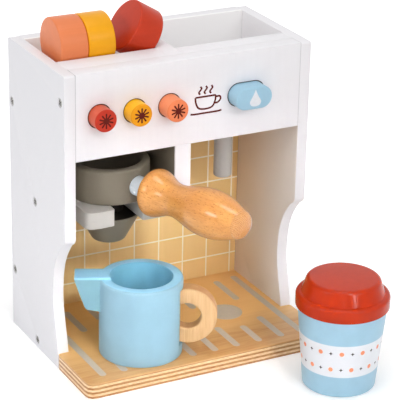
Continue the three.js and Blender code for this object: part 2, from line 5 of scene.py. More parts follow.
import bmesh
import bpy
from bpy.props import FloatProperty, FloatVectorProperty, IntProperty, PointerProperty
from mathutils import Matrix, Vector


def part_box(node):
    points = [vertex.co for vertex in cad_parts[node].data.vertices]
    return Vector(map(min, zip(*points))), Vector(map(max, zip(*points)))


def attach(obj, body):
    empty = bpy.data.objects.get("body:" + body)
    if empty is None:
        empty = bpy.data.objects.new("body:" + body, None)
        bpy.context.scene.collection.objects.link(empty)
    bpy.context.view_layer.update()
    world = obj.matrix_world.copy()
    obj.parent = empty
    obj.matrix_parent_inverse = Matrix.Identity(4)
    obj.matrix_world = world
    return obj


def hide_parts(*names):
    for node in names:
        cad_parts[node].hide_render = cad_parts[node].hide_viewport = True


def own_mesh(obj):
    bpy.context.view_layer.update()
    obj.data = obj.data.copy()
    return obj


bl_info = {
    "name": "Toy Coffee Maker",
    "version": (1, 0, 0),
    "blender": (4, 5, 0),
    "location": "3D View > Sidebar > Toy",
    "description": "Builds a wooden toy coffee maker with its filter, pods, jug and takeaway cup",
    "category": "Object",
}

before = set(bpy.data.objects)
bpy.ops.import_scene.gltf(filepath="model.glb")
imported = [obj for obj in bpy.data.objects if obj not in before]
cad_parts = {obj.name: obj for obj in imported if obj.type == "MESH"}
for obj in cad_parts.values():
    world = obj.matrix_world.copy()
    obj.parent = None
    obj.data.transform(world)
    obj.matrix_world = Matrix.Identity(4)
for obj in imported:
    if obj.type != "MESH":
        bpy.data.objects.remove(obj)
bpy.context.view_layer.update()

MM = 0.001
FULL_TURN = math.tau
WELD = 1e-6
ROUND_BUTTONS = ("red", "yellow", "orange")
BUTTONS = (*ROUND_BUTTONS, "blue")


def length(name, description, default):
    """A length in metres, from a default in millimetres."""
    return FloatProperty(
        name=name, description=description, default=default * MM, unit="LENGTH", precision=4
    )


def position(name, description, default):
    """A place in metres, from a default in millimetres."""
    metres = [value * MM for value in default]
    return FloatVectorProperty(
        name=name, description=description, default=metres, subtype="XYZ", unit="LENGTH", precision=4
    )


def number(name, description, default):
    """A plain number."""
    return FloatProperty(name=name, description=description, default=default, precision=3)


def whole(name, description, default):
    """A whole number."""
    return IntProperty(name=name, description=description, default=default, min=1)


def colour(name, description, default):
    """A colour as it is seen, from sRGB values of 0 to 255."""
    shares = [value / 255 for value in default]
    limits = {"size": 3, "min": 0, "max": 1}
    return FloatVectorProperty(
        name=name, description=description, default=shares, subtype="COLOR_GAMMA", **limits
    )


def angle(name, description, default):
    """An angle, from a default in degrees."""
    turn = math.radians(default)
    return FloatProperty(name=name, description=description, default=turn, subtype="ANGLE", unit="ROTATION")


def mm(group, *names):
    """Lengths of a property group in millimetres."""
    return [getattr(group, name) / MM for name in names]


class PaintColours(bpy.types.PropertyGroup):
    """The paints and inks"""

    white: colour("White", "Paint of the box", (238, 236, 239))
    pale_grey: colour("Pale grey", "Paint of the filter holder, water spout and peg", (189, 186, 181))
    dark_grey: colour("Dark grey", "Paint of the filter's cup and cone", (126, 118, 103))
    # Painted shade: a deeper blue inside the jug, where shade and blue bounce fall.
    inside_shade_blue: colour("Deep blue", "Blue of the jug's inside", (124, 188, 214))
    # Painted light: a lighter blue on the jug's rim and the lip's top, which lie in shade under the
    # filter's handle.
    rim_painted_light: colour("Rim blue", "Blue of the jug's rim and of the lip's top", (156, 213, 241))
    # Painted shade: a darker blue on the lip's sides, holding back the side lamp's light on them.
    lip_blue: colour("Lip blue", "Blue of the sides of the jug's lip", (130, 172, 186))
    # Painted light: the bay's walls run from a pale front to a deep warm back, standing in for warm bounce
    # light and shade in the bay.
    bounce_light_front: colour("Bay front", "Front of the bay's walls", (255, 250, 232))
    bounce_light_back: colour("Bay back", "Upper back of the bay's walls", (255, 192, 92))
    # Painted shade: a dark line in the corner where the bay's walls meet the tiles.
    painted_corner_shade: colour("Bay corner", "Corner between the bay's walls and the tiles", (120, 84, 50))
    # Painted shade: a dark ring between each button and its hole.
    gap: colour("Gap", "Ring between a button and its hole", (66, 44, 36))
    # Painted light: the peg is painted lighter and bluer than the holder's pale grey, to offset the warm
    # shade and bounce from the handle above it.
    peg: colour("Peg", "Paint of the filter's peg", (228, 238, 246))
    # Near-black on the neck and on a thin disc laid over the cone's top.
    black: colour("Black", "Paint of the filter's neck", (30, 26, 21))
    # Painted sheen: each round button's sides are painted lighter than its end, standing in for the sheen
    # on them. The orange also prints the dots on the cup's band.
    red: colour("Red", "Sides of the red button", (207, 90, 62))
    red_face: colour("Red face", "End of the red button", (188, 48, 25))
    yellow_face: colour("Yellow face", "End of the yellow button", (230, 152, 2))
    orange_face: colour("Orange face", "End of the orange button", (230, 128, 82))
    orange: colour("Orange", "Sides of the orange button, and dots of the cup's band", (238, 142, 98))
    yellow: colour("Yellow", "Sides of the yellow button", (244, 180, 24))
    blue: colour("Blue", "Paint of the takeaway cup and wide button", (157, 195, 215))
    jug_side: colour("Jug's side", "Paint of the jug's turned side", (146, 183, 201))
    lid_red: colour("Lid red", "Paint of the takeaway cup's lid", (183, 46, 4))
    # Painted light: a lighter white for the bins and for the wall above the tiles, which lie in shade.
    painted_light_white: colour("White in shade", "White paint in the bins and above the tiles", (255, 254, 253))
    # Painted shade: a greyer white for the left board's outer face.
    painted_shade_white: colour("White outside", "White paint of the left board's outer face", (229, 228, 232))
    capsule_red: colour("Capsule red", "Paint of the red pod", (196, 56, 24))
    capsule_orange: colour("Capsule orange", "Paint of the orange pod", (232, 132, 82))
    capsule_yellow: colour("Capsule yellow", "Paint of the yellow pod", (242, 167, 0))
    ink: colour("Ink", "Print on the front panel and the round buttons", (94, 27, 18))
    base_ink: colour("Base ink", "Grey print on the base board", (199, 188, 172))
    band: colour("Band", "White band of the takeaway cup, and the drop", (226, 228, 233))
    spark: colour("Spark", "Small dark marks on the cup's band", (52, 44, 42))


class WoodColours(bpy.types.PropertyGroup):
    """The clear-finished woods"""

    tile: colour("Tiles", "Printed tiles of the back panel", (250, 218, 154))
    joint: colour("Tile joints", "Pale lines between the tiles", (255, 248, 232))
    ply: colour("Plywood", "Face of the base board", (217, 172, 114))
    ply_dark: colour("Plywood grain", "Darker grain of the base board", (194, 136, 74))
    # Painted light: the base board's face is lighter in the bay, under the front panel, where it lies in
    # shade.
    ply_painted_light: colour("Plywood in the bay", "Face of the base board behind its front", (255, 205, 128))
    ply_edge: colour("Plywood edge", "Pale layers of the base board's edge", (250, 220, 176))
    ply_layer: colour("Plywood layers", "Dark layers of the base board's edge", (168, 106, 46))
    handle: colour("Handle", "Varnished wood of the turned handle", (216, 153, 80))
    handle_dark: colour("Handle grain", "Darker grain of the turned handle", (196, 127, 58))
    pore: colour("Pores", "Short dark pores of the turned handle", (158, 90, 40))
    tip: colour("Handle tip", "Pale end grain of the turned handle", (206, 152, 94))
    ring: colour("Ring", "Bare wood of the jug's handle", (217, 179, 131))
    # Partly end grain and partly painted shade: the ring's curved faces are darker.
    ring_rim: colour("Ring rim", "Curved faces of the jug's handle", (200, 150, 98))
    ring_dark: colour("Ring grain", "Darker grain of the jug's handle", (200, 156, 106))


class MetalColours(bpy.types.PropertyGroup):
    """The fasteners and springs"""

    zinc: colour("Zinc", "Screws and springs", (178, 176, 172))
    # Painted shade: a dark cross standing in for the shade in each screw head's recess.
    recess: colour("Recess", "Shaded cross in a screw's head", (70, 68, 66))


class BoardSizes(bpy.types.PropertyGroup):
    """Edges of the boards and the pattern of the tiles"""

    soft_edge: length("Soft edge", "Rounding of a painted board's edges", 0.9)
    holder_edge: length("Holder edge", "Rounding of the filter holder's edges", 1.8)
    base_edge: length("Base edge", "Rounding of the base board's edges", 1.9)
    tile_width: length("Tile width", "Distance between upright joints", 25.9)
    tile_height: length("Tile height", "Distance between level joints", 26.3)
    first_joint: length("First joint", "Height of the lowest level joint", 34.9)
    joint_shift: length("Joint shift", "Place of the middle upright joint", -0.4)
    joint_width: length("Joint width", "Width of a joint", 1.3)
    # Painted light: where the painted warm bounce on the bay's walls starts.
    painted_bounce_start: length("Warm start", "Where the bay's walls start to warm, from front to back", 20)
    ply_layers: whole("Layers", "Layers of the plywood", 7)


class PrintSizes(bpy.types.PropertyGroup):
    """The printed marks"""

    ink_thickness: length("Ink thickness", "How far ink stands proud", 0.06)
    ink_sink: length("Ink sink", "How far ink reaches into its surface", 0.05)
    bar_width: length("Bar width", "Width of a bar on the base board", 6.6)
    bar_front: length("Bar front", "Front end of the front bars", -38.2)
    bar_back: length("Bar back", "Back end of the rear bars", 93)
    disc_radius: length("Disc radius", "Radius of a disc on the base board", 16)
    disc_across: length("Disc across", "Distance of a disc from the middle", 56.2)
    disc_depth: length("Disc depth", "Place of the discs from front to back", 29)
    rosette_disc: length("Rosette disc", "Radius of a rosette's middle", 2.7)
    rosette_reach: length("Rosette reach", "Radius of a rosette's rays", 6.9)
    rosette_ray: length("Rosette ray", "Width of a ray", 1.7)
    rosette_rays: whole("Rays", "Rays of a rosette", 10)
    drop_height: length("Drop height", "Height of the drop", 15.5)
    drop_width: length("Drop width", "Width of the drop", 11)
    drop_right: length("Drop, right", "How far the drop is off its button's middle", 0.9)
    drop_up: length("Drop, up", "How far the drop is above its button's middle", 0.4)
    stroke: length("Stroke", "Width of the lines of the small cup", 1.7)
    picture_centre: length("Picture centre", "Place of the small cup across the panel", 14.6)
    picture_height: length("Picture height", "Height of the small cup's middle", 241.4)


class ButtonSizes(bpy.types.PropertyGroup):
    """The push buttons and the dark edges of their holes"""

    radius: length("Radius", "Radius of a round button and of the wide one's ends", 10.2)
    edge: length("Edge", "Rounding of a button's front edge", 1.5)
    stem_radius: length("Stem radius", "Radius of the stem behind a round button", 5)
    stem_length: length("Stem length", "Length of the stem behind a button", 4)
    red_longer: length("Red, longer", "How much longer the red button is than its solid", -0.9)
    yellow_longer: length("Yellow, longer", "How much longer the yellow button is than its solid", -0.8)
    orange_longer: length("Orange, longer", "How much longer the orange button is than its solid", 2.2)
    # Sizes of the dark ring of painted shade in each hole.
    gap_inner: length("Gap, inner", "Inner radius of the dark edge of a hole", 10.4)
    gap_outer: length("Gap, outer", "Outer radius of the dark edge of a hole", 11.3)
    gap_inset: length("Gap inset", "How far the dark edge stays behind the panel's front", 0.5)
    gap_depth: length("Gap depth", "Depth of the dark edge of a hole", 2)
    travel: length("Travel", "How far a button goes in", 5)


class FilterSizes(bpy.types.PropertyGroup):
    """The filter and its handle"""

    cup_radius: length("Cup radius", "Radius of the filter's cup", 36.6)
    cup_height: length("Cup height", "Height of the filter's cup", 32)
    cup_bore: length("Cup bore", "Inner radius of the filter's cup", 28.4)
    cup_floor: length("Cup floor", "Thickness of the cup's floor", 5)
    neck_radius: length("Neck radius", "Radius of the neck in its holder", 13.2)
    neck_length: length("Neck length", "How far the neck reaches below the cup", 17.4)
    # The plate is a thin near-black disc laid over the cone's top.
    plate_radius: length("Plate radius", "Radius of the black plate on the cone", 28.8)
    plate: length("Plate", "Thickness of the black plate on the cone", 0.2)
    cone_top: length("Cone top", "Radius of the cone at its top", 29.5)
    cone_tip: length("Cone tip", "Radius of the cone at its tip", 14.6)
    cone_start: length("Cone start", "How far below the cup the cone starts", 17.5)
    cone_end: length("Cone end", "How far below the cup the cone ends", 45.6)
    arm_turn: angle("Arm turn", "Turn of the handle off the front", 19)
    arm_rise: length("Arm rise", "Height of the handle's axis above the cup's foot", 15.3)
    peg_radius: length("Peg radius", "Radius of the peg between cup and handle", 9)
    peg_start: length("Peg start", "Where the peg starts along the arm", 30.6)
    peg_end: length("Peg end", "Where the peg ends along the arm", 69)
    handle_start: length("Handle start", "Where the handle starts along the arm", 54.5)
    handle_length: length("Handle length", "Length of the turned handle", 108.3)
    end_grain: length("End grain", "Length of the handle's tip that shows end grain", 4.5)


class PodSizes(bpy.types.PropertyGroup):
    """The coffee pods"""

    radius: length("Radius", "Radius of a pod", 24.1)
    height: length("Height", "Height of a pod", 25.6)
    edge: length("Edge", "Rounding of a pod's edges", 1.6)
    lean: angle("Lean", "Lean of the red pod", 31)


class JugSizes(bpy.types.PropertyGroup):
    """The jug, its lip and its ring"""

    across: length("Across", "Place of the jug's axis across the base board", -49.2)
    depth: length("Depth", "Place of the jug's axis from front to back", -5.7)
    turn: angle("Turn", "Turn of the ring off the right", -29)
    radius: length("Radius", "Radius of the turned body", 37.5)
    height: length("Height", "Height of the turned body", 73.2)
    bore: length("Bore", "Inner radius of the turned body", 28.1)
    floor: length("Floor", "Thickness of the jug's floor", 7)
    flat: length("Flat", "Distance of the ring's seat from the axis", 34.8)
    flat_low: length("Flat, low", "Lower end of the ring's seat", 10.6)
    flat_high: length("Flat, high", "Upper end of the ring's seat", 64.4)
    lip_height: length("Lip height", "Height of the lip's top", 75.2)
    lip_width: length("Lip width", "Width of the lip", 20)
    lip_reach: length("Lip reach", "Distance of the lip's tip from the axis", 59)
    lip_bore: length("Lip bore", "Radius of the lip's hollow back", 28.2)
    lip_turn: angle("Lip turn", "Turn of the lip off the ring's far side", 3.5)
    ring_radius: length("Ring radius", "Outer radius of the ring", 26.6)
    ring_bore: length("Ring bore", "Inner radius of the ring", 12.3)
    ring_width: length("Ring width", "Width of the ring", 14)
    ring_edge: length("Ring edge", "Rounding of the ring's edges", 1.8)
    ring_away: length("Ring, away", "Distance of the ring's middle from the axis", 41.7)
    ring_rise: length("Ring, up", "Height of the ring's middle", 37.5)
    ring_seat: length("Ring seat", "Distance of the ring's cut face from the axis", 35.1)


class TakeawaySizes(bpy.types.PropertyGroup):
    """The takeaway cup, its band and its lid"""

    foot_radius: length("Foot radius", "Radius of the cup's foot", 32.4)
    rim_radius: length("Rim radius", "Radius of the cup's rim", 39.3)
    height: length("Height", "Height of the cup", 75.2)
    rim_bore: length("Rim bore", "Inner radius of the cup's rim", 32.8)
    floor_bore: length("Floor bore", "Inner radius of the cup at its floor", 25.9)
    floor: length("Floor", "Thickness of the cup's floor", 7)
    plug_radius: length("Plug radius", "Radius of the lid's plug", 31.4)
    plug_low: length("Plug, low", "Height of the plug's lower face", 70.2)
    lid_radius: length("Lid radius", "Radius of the lid", 41.6)
    lid_low: length("Lid, low", "Height of the lid's lower face", 75.5)
    ledge_height: length("Ledge height", "Height of the lid's ledge", 88.5)
    dome_foot: length("Dome foot", "Radius of the lid's dome at the ledge", 36.8)
    dome_top: length("Dome top", "Radius of the lid's dome at its top", 32.2)
    lid_top: length("Lid top", "Height of the lid's top", 102.1)
    band_low: length("Band, low", "Lower edge of the white band", 20.5)
    band_high: length("Band, high", "Upper edge of the white band", 52.5)
    band_radius: length("Band radius", "Radius at which the band's marks are spaced", 37)
    band_inside: length("Band inside", "Radius within which no band is printed", 32)
    band_marks: whole("Band marks", "Marks in a row round the cup", 12)
    row_shift: length("Row shift", "Distance of a row from the band's middle", 8)
    dot_radius: length("Dot radius", "Radius of an orange dot", 2.1)
    spark_reach: length("Spark reach", "Length of a spark's points", 2.6)


class StudioSettings(bpy.types.PropertyGroup):
    """Camera, lamps and floor"""

    lens: number("Lens", "Focal length in millimetres", 170.604)
    camera_place: position("Camera", "Place of the camera", (-723.527, -1374.261, 793.925))
    turn: angle("Turn", "Camera's turn towards +X from +Y", 28.1322)
    tilt: angle("Tilt", "Camera's tilt above the horizon", -22.5365)
    roll: angle("Roll", "Camera's roll", 1.238)
    front_power: number("Front", "Watts of the high lamp in front", 2.9)
    right_power: number("Right", "Watts of the softbox at the front right", 3)
    left_power: number("Left", "Watts of the high lamp at the front left", 1.6)
    side_power: number("Side", "Watts of the small softbox at the left", 6.5)
    top_power: number("Top", "Watts of the lamp above", 7)
    bay_low: number("Bay, low", "Watts of the narrow lamp aimed at the tiles", 0.034)
    bay_high: number("Bay, high", "Watts of the narrow lamp aimed at the base board", 0.086)
    bay_side: number("Bay, side", "Watts of the narrow lamp aimed at the right board", 0.032)
    lamp_reach: length("Lamp reach", "Distance of the lamps from the toy", 2000)
    world_light: number("Surroundings", "Light from all round", 0.61)
    floor_size: length("Floor size", "Half the width of the floor", 6000)
    floor_glow: number("Floor glow", "Light that whitens the seen floor", 0.6)
    shadow_reach: length("Shadow reach", "Distance from the middle where the floor starts to whiten", 120)
    glow_reach: length("Glow reach", "Distance from the middle where the floor is whitened in full", 400)


PROPERTY_GROUPS = {
    "toy_paints": PaintColours,
    "toy_woods": WoodColours,
    "toy_metals": MetalColours,
    "toy_boards": BoardSizes,
    "toy_prints": PrintSizes,
    "toy_buttons": ButtonSizes,
    "toy_filter": FilterSizes,
    "toy_pods": PodSizes,
    "toy_jug": JugSizes,
    "toy_takeaway": TakeawaySizes,
    "toy_studio": StudioSettings,
}


# Colours and shader nodes


def linear(shown):
    """Scene-linear RGBA from a colour as it is seen."""
    values = [c / 12.92 if c <= 0.04045 else ((c + 0.055) / 1.055) ** 2.4 for c in shown]
    return (*values, 1.0)


def blended(first, second, share):
    """A colour part of the way from one to another."""
    return [a + (b - a) * share for a, b in zip(first, second)]


def shaded(shown, factor):
    """Scene-linear RGBA of a colour made darker or lighter, by one factor or one for each channel."""
    factors = factor if isinstance(factor, tuple) else (factor,) * 3
    return linear([min(value * share, 1.0) for value, share in zip(shown, factors)])


class Nodes:
    """A node tree, with short ways to add nodes to it."""

    def __init__(self, tree):
        self.tree = tree

    def set(self, target, value):
        if isinstance(value, bpy.types.NodeSocket):
            self.tree.links.new(value, target)
        else:
            target.default_value = value

    def add(self, kind, inputs, output=0, **settings):
        node = self.tree.nodes.new(kind)
        for key, value in settings.items():
            setattr(node, key, value)
        for key, value in inputs.items():
            self.set(node.inputs[key], value)
        return node.outputs[output]

    def calc(self, operation, first, second=0.0, third=0.0):
        return self.add("ShaderNodeMath", {0: first, 1: second, 2: third}, operation=operation)

    def all_of(self, share, *others):
        """The product of several shares."""
        for other in others:
            share = self.calc("MULTIPLY", share, other)
        return share

    def steps(self, value, low, high, new_low=0.0, new_high=1.0):
        inputs = {"Value": value, "From Min": low, "From Max": high, "To Min": new_low, "To Max": new_high}
        return self.add("ShaderNodeMapRange", inputs, interpolation_type="SMOOTHSTEP")

    def above(self, value, edge, blur):
        """0 up to an edge, and 1 once a value is a blur past it."""
        return self.steps(value, edge, edge + blur)

    def below(self, value, edge, blur):
        """1 until a value is a blur short of an edge, and 0 from there on."""
        return self.steps(value, edge - blur, edge, 1.0, 0.0)

    def background_rays(self):
        """1 for rays that see the background: the camera's, and those of gloss and clear surfaces."""
        path = self.tree.nodes.new("ShaderNodeLightPath").outputs
        reflected = self.calc("MAXIMUM", path["Is Glossy Ray"], path["Is Transmission Ray"])
        return self.calc("MAXIMUM", path["Is Camera Ray"], reflected)


class Finish(Nodes):
    """A material with its main shader, and the patterns that its surface is built from."""

    def __init__(self, name, base, roughness, metallic=0.0):
        self.material = bpy.data.materials.new(name)
        self.material.use_nodes = True
        super().__init__(self.material.node_tree)
        self.shader = self.tree.nodes["Principled BSDF"]
        self.shader.inputs["Base Color"].default_value = linear(base)
        self.shader.inputs["Roughness"].default_value = roughness
        self.shader.inputs["Metallic"].default_value = metallic
        self.place = self.tree.nodes.new("ShaderNodeTexCoord").outputs["Object"]

    def local(self, origin, turn):
        """Coordinates in millimetres about an origin, turned back about Z."""
        inputs = {"Vector": self.place, "Location": origin, "Rotation": (0, 0, turn), "Scale": (MM, MM, MM)}
        return self.add("ShaderNodeMapping", inputs, vector_type="TEXTURE")

    def scaled(self, vector, scale):
        return self.add("ShaderNodeVectorMath", {0: vector, 1: scale}, operation="MULTIPLY")

    def stretched(self, scale):
        return self.add("ShaderNodeMapping", {"Vector": self.place, "Scale": scale})

    def noise(self, vector, scale, detail=3.0, roughness=0.55, distortion=0.0):
        inputs = {"Vector": vector, "Scale": scale, "Detail": detail}
        inputs |= {"Roughness": roughness, "Distortion": distortion}
        return self.add("ShaderNodeTexNoise", inputs)

    def mottle(self):
        """Soft blotches of paint."""
        return self.noise(self.place, 55.0, 4.0)

    def skin(self):
        """The fine roughness of paint."""
        return self.noise(self.place, 1500.0, 2.0)

    def grain(self, axis=2):
        """The grain of wood along an axis, as it shows through paint."""
        scale = [240.0, 240.0, 240.0]
        scale[axis] = 14.0
        return self.noise(self.stretched(scale), 1.0, 3.0)

    def mix(self, share, first, second):
        node = self.tree.nodes.new("ShaderNodeMix")
        node.data_type = "RGBA"
        self.set(node.inputs[0], share)
        self.set(node.inputs[6], first)
        self.set(node.inputs[7], second)
        return node.outputs[2]

    def split(self, vector):
        node = self.tree.nodes.new("ShaderNodeSeparateXYZ")
        self.set(node.inputs[0], vector)
        return node.outputs

    def from_axis(self, x, y):
        """The distance from an upright axis."""
        squared = self.calc("MULTIPLY_ADD", x, x, self.calc("MULTIPLY", y, y))
        return self.calc("SQRT", squared)

    def bump(self, height, strength, distance):
        node = self.tree.nodes.new("ShaderNodeBump")
        node.inputs["Strength"].default_value = strength
        node.inputs["Distance"].default_value = distance
        self.set(node.inputs["Height"], height)
        self.set(self.shader.inputs["Normal"], node.outputs[0])

    def base(self, value):
        self.set(self.shader.inputs["Base Color"], value)

    def specular(self, level):
        self.shader.inputs["Specular IOR Level"].default_value = level

    def coat(self, weight, roughness):
        self.shader.inputs["Coat Weight"].default_value = weight
        self.shader.inputs["Coat Roughness"].default_value = roughness


def painted(
    name,
    shown,
    roughness=0.42,
    grain_axis=2,
    specular=0.22,
    relief=0.08,
    tone_depth=0.006,
    face=None,
    seam=None,
):
    """Satin paint on wood: a slight mottle, the wood's grain just showing, and a fine skin.

    A face is the place of a button's front end and that end's colour. A seam is the distance of the
    front panel's ends from the middle, where its paint is darker.
    """
    finish = Finish(name, shown, roughness)
    grain = finish.grain(grain_axis)
    tone = finish.calc("MULTIPLY_ADD", grain, 0.5, finish.calc("MULTIPLY", finish.mottle(), 0.5))
    darker, lighter = shaded(shown, 1 - tone_depth), shaded(shown, 1 + tone_depth)
    body = finish.mix(finish.steps(tone, 0.3, 0.7), darker, lighter)
    # Painted sheen: the end keeps its own colour, and the sides the lighter one.
    if face:
        front, end_colour = face
        _, y, _ = finish.split(finish.place)
        body = finish.mix(finish.below(y, front + 1.6 * MM, 0.7 * MM), body, linear(end_colour))
    # Painted shade: darker paint in the seams at the panel's ends.
    if seam:
        x, _, _ = finish.split(finish.place)
        seam_shade_share = finish.above(finish.calc("ABSOLUTE", x), seam - 0.75 * MM, 0.6 * MM)
        body = finish.mix(seam_shade_share, body, shaded(shown, 0.8))
    finish.base(body)
    height = finish.calc("MULTIPLY_ADD", finish.skin(), 0.35, finish.calc("MULTIPLY", grain, 0.65))
    finish.bump(height, relief, 0.15 * MM)
    finish.specular(specular)
    return finish.material


def two_toned(name, paints, left, top, front):
    """White paint, with dark grey on the face beside the filter."""
    finish = Finish(name, paints.white, 0.42)
    x, y, z = finish.split(finish.place)
    right_of_filter = finish.below(x, left, 0.2 * MM)
    behind_panel = finish.above(y, front, 0.3 * MM)
    under_panel = finish.below(z, top, 0.2 * MM)
    mottle = finish.mottle()
    white = finish.mix(mottle, shaded(paints.white, 0.985), linear(paints.white))
    grey = finish.mix(mottle, shaded(paints.dark_grey, 0.96), linear(paints.dark_grey))
    finish.base(finish.mix(finish.all_of(right_of_filter, behind_panel, under_panel), white, grey))
    finish.bump(finish.skin(), 0.1, 0.1 * MM)
    return finish.material


def bounce_painted_white(name, paints, side, inner, outer, top, low, front, back):
    """White paint of a side board, whose inner face warms towards the back of the bay."""
    finish = Finish(name, paints.white, 0.42)
    x, y, z = finish.split(finish.place)
    sideways = finish.calc("MULTIPLY", x, side)
    white = finish.mix(finish.mottle(), shaded(paints.white, 0.992), linear(paints.white))
    # Painted shade: the left board's outer face is a greyer white.
    outer_face = linear(paints.painted_shade_white if side < 0 else paints.white)
    white = finish.mix(finish.above(sideways, outer - 0.4 * MM, 0.4 * MM), white, outer_face)
    # Painted light: the inner face warms from front to back and from low to high, standing in for bounce
    # light and shade in the bay.
    depth = finish.add("ShaderNodeMapRange", {"Value": y, "From Min": front, "From Max": back})
    height = finish.add("ShaderNodeMapRange", {"Value": z, "From Min": low, "From Max": top})
    share = finish.calc("MULTIPLY_ADD", depth, 0.75, finish.calc("MULTIPLY_ADD", height, 0.4, -0.1))
    warm = finish.mix(finish.steps(share, 0.0, 1.0), linear(paints.bounce_light_front), linear(paints.bounce_light_back))
    # Painted shade: a darker line along the back corner of the bay.
    corner = finish.steps(y, back - 1.3 * MM, back - 0.3 * MM, 0.0, 0.7)
    warm = finish.mix(corner, warm, linear(paints.painted_corner_shade))
    # Above the bay and below the base board's top, the inner face gets the lighter white of painted light.
    under_bins = finish.below(z, top + 0.3 * MM, 0.3 * MM)
    over_base = finish.above(z, low - 0.3 * MM, 0.3 * MM)
    inner_face = finish.mix(finish.all_of(under_bins, over_base), linear(paints.painted_light_white), warm)
    finish.base(finish.mix(finish.below(sideways, inner + 0.15 * MM, 0.4 * MM), white, inner_face))
    finish.bump(finish.calc("MULTIPLY_ADD", finish.grain(), 0.65, finish.skin()), 0.08, 0.15 * MM)
    finish.specular(0.3)
    return finish.material


def varnished(name, woods, origin, turn, end):
    """Glossy turned wood: soft bands and short pores along the arm, and pale end grain at its tip."""
    finish = Finish(name, woods.handle, 0.38)
    local = finish.local(origin, turn)
    x, y, z = finish.split(local)
    bands = finish.noise(finish.scaled(local, (0.09, 0.012, 0.09)), 1.0, 3.0, 0.5, 0.6)
    streaks = finish.noise(finish.scaled(local, (0.7, 0.035, 0.7)), 1.0, 3.0, 0.55)
    specks = finish.noise(finish.scaled(local, (1.5, 0.22, 1.5)), 1.0, 2.0, 0.5)
    broad = finish.steps(bands, 0.35, 0.68, 0.0, 0.45)
    fine = finish.steps(streaks, 0.4, 0.72, 0.0, 0.45)
    body = finish.mix(finish.calc("ADD", broad, fine), linear(woods.handle), linear(woods.handle_dark))
    pores = finish.steps(specks, 0.6, 0.68, 0.0, 0.75)
    side_grain = finish.mix(pores, body, linear(woods.pore))

    heart = {0: finish.calc("ADD", x, 22.0), 1: finish.calc("ADD", z, 14.0)}
    from_heart = finish.add(
        "ShaderNodeVectorMath", {0: finish.add("ShaderNodeCombineXYZ", heart)}, 1, operation="LENGTH"
    )
    wobble = finish.noise(finish.scaled(local, (0.3, 0.3, 0.3)), 1.0, 3.0)
    rings = finish.calc("PINGPONG", finish.calc("MULTIPLY_ADD", wobble, 2.2, from_heart), 0.75)
    pits = finish.steps(finish.noise(local, 1.3, 2.0), 0.54, 0.64, 0.0, 0.6)
    ringed_end = finish.steps(rings, 0.1, 0.7, 0.0, 0.9)
    end_grain = finish.mix(ringed_end, linear(woods.tip), linear(woods.handle_dark))
    end_grain = finish.mix(pits, end_grain, linear(woods.pore))
    at_end = finish.above(finish.calc("MULTIPLY", y, -1.0), end - 0.3, 0.6)
    finish.base(finish.mix(at_end, side_grain, end_grain))
    finish.bump(finish.calc("SUBTRACT", finish.calc("MULTIPLY", streaks, 0.3), pores), 0.12, 0.1 * MM)
    finish.specular(0.1)
    finish.coat(0.9, 0.045)
    return finish.material


def enamelled(name, paints, shown, origin, bore, rim):
    """The jug's blue, which is deeper on its rim, on the lip's top and inside."""
    finish = Finish(name, shown, 0.42)
    x, y, z = finish.split(finish.local(origin, 0))
    mottle = finish.steps(finish.noise(finish.place, 40.0, 4.0), 0.35, 0.65)
    body = finish.mix(mottle, shaded(shown, 0.985), shaded(shown, 1.01))
    deep = finish.mix(mottle, shaded(paints.inside_shade_blue, 0.96), linear(paints.inside_shade_blue))
    # Painted shade inside the jug.
    inside = finish.all_of(finish.below(finish.from_axis(x, y), bore + 1.2, 1.2), finish.above(z, 5.0, 1.0))
    body = finish.mix(inside, body, deep)
    # Painted light on the rim and the lip's top.
    finish.base(finish.mix(finish.above(z, rim, 0.8), body, linear(paints.rim_painted_light)))
    finish.bump(finish.noise(finish.place, 900.0, 2.0), 0.08, 0.12 * MM)
    finish.specular(0.16)
    return finish.material


def ringed(name, woods, origin, turn, half):
    """Bare wood with fine upright grain, and darker curved faces."""
    finish = Finish(name, woods.ring, 0.55)
    local = finish.local(origin, turn)
    _, across, _ = finish.split(local)
    # Curved faces are darker, partly end grain and partly painted shade.
    curved = finish.below(finish.calc("ABSOLUTE", across), half - 0.6, 1.4)
    streaks = finish.noise(finish.scaled(local, (0.9, 0.9, 0.05)), 1.0, 4.0, 0.55, 0.3)
    bands = finish.noise(finish.scaled(local, (0.16, 0.16, 0.02)), 1.0, 2.0)
    fine = finish.steps(streaks, 0.38, 0.7, 0.0, 0.6)
    tone = finish.calc("ADD", fine, finish.steps(bands, 0.35, 0.65, 0.0, 0.3))
    flat = finish.mix(tone, linear(woods.ring), linear(woods.ring_dark))
    rim = finish.mix(tone, linear(woods.ring_rim), linear(blended(woods.ring_rim, woods.pore, 0.25)))
    finish.base(finish.mix(curved, flat, rim))
    finish.bump(streaks, 0.12, 0.1 * MM)
    return finish.material


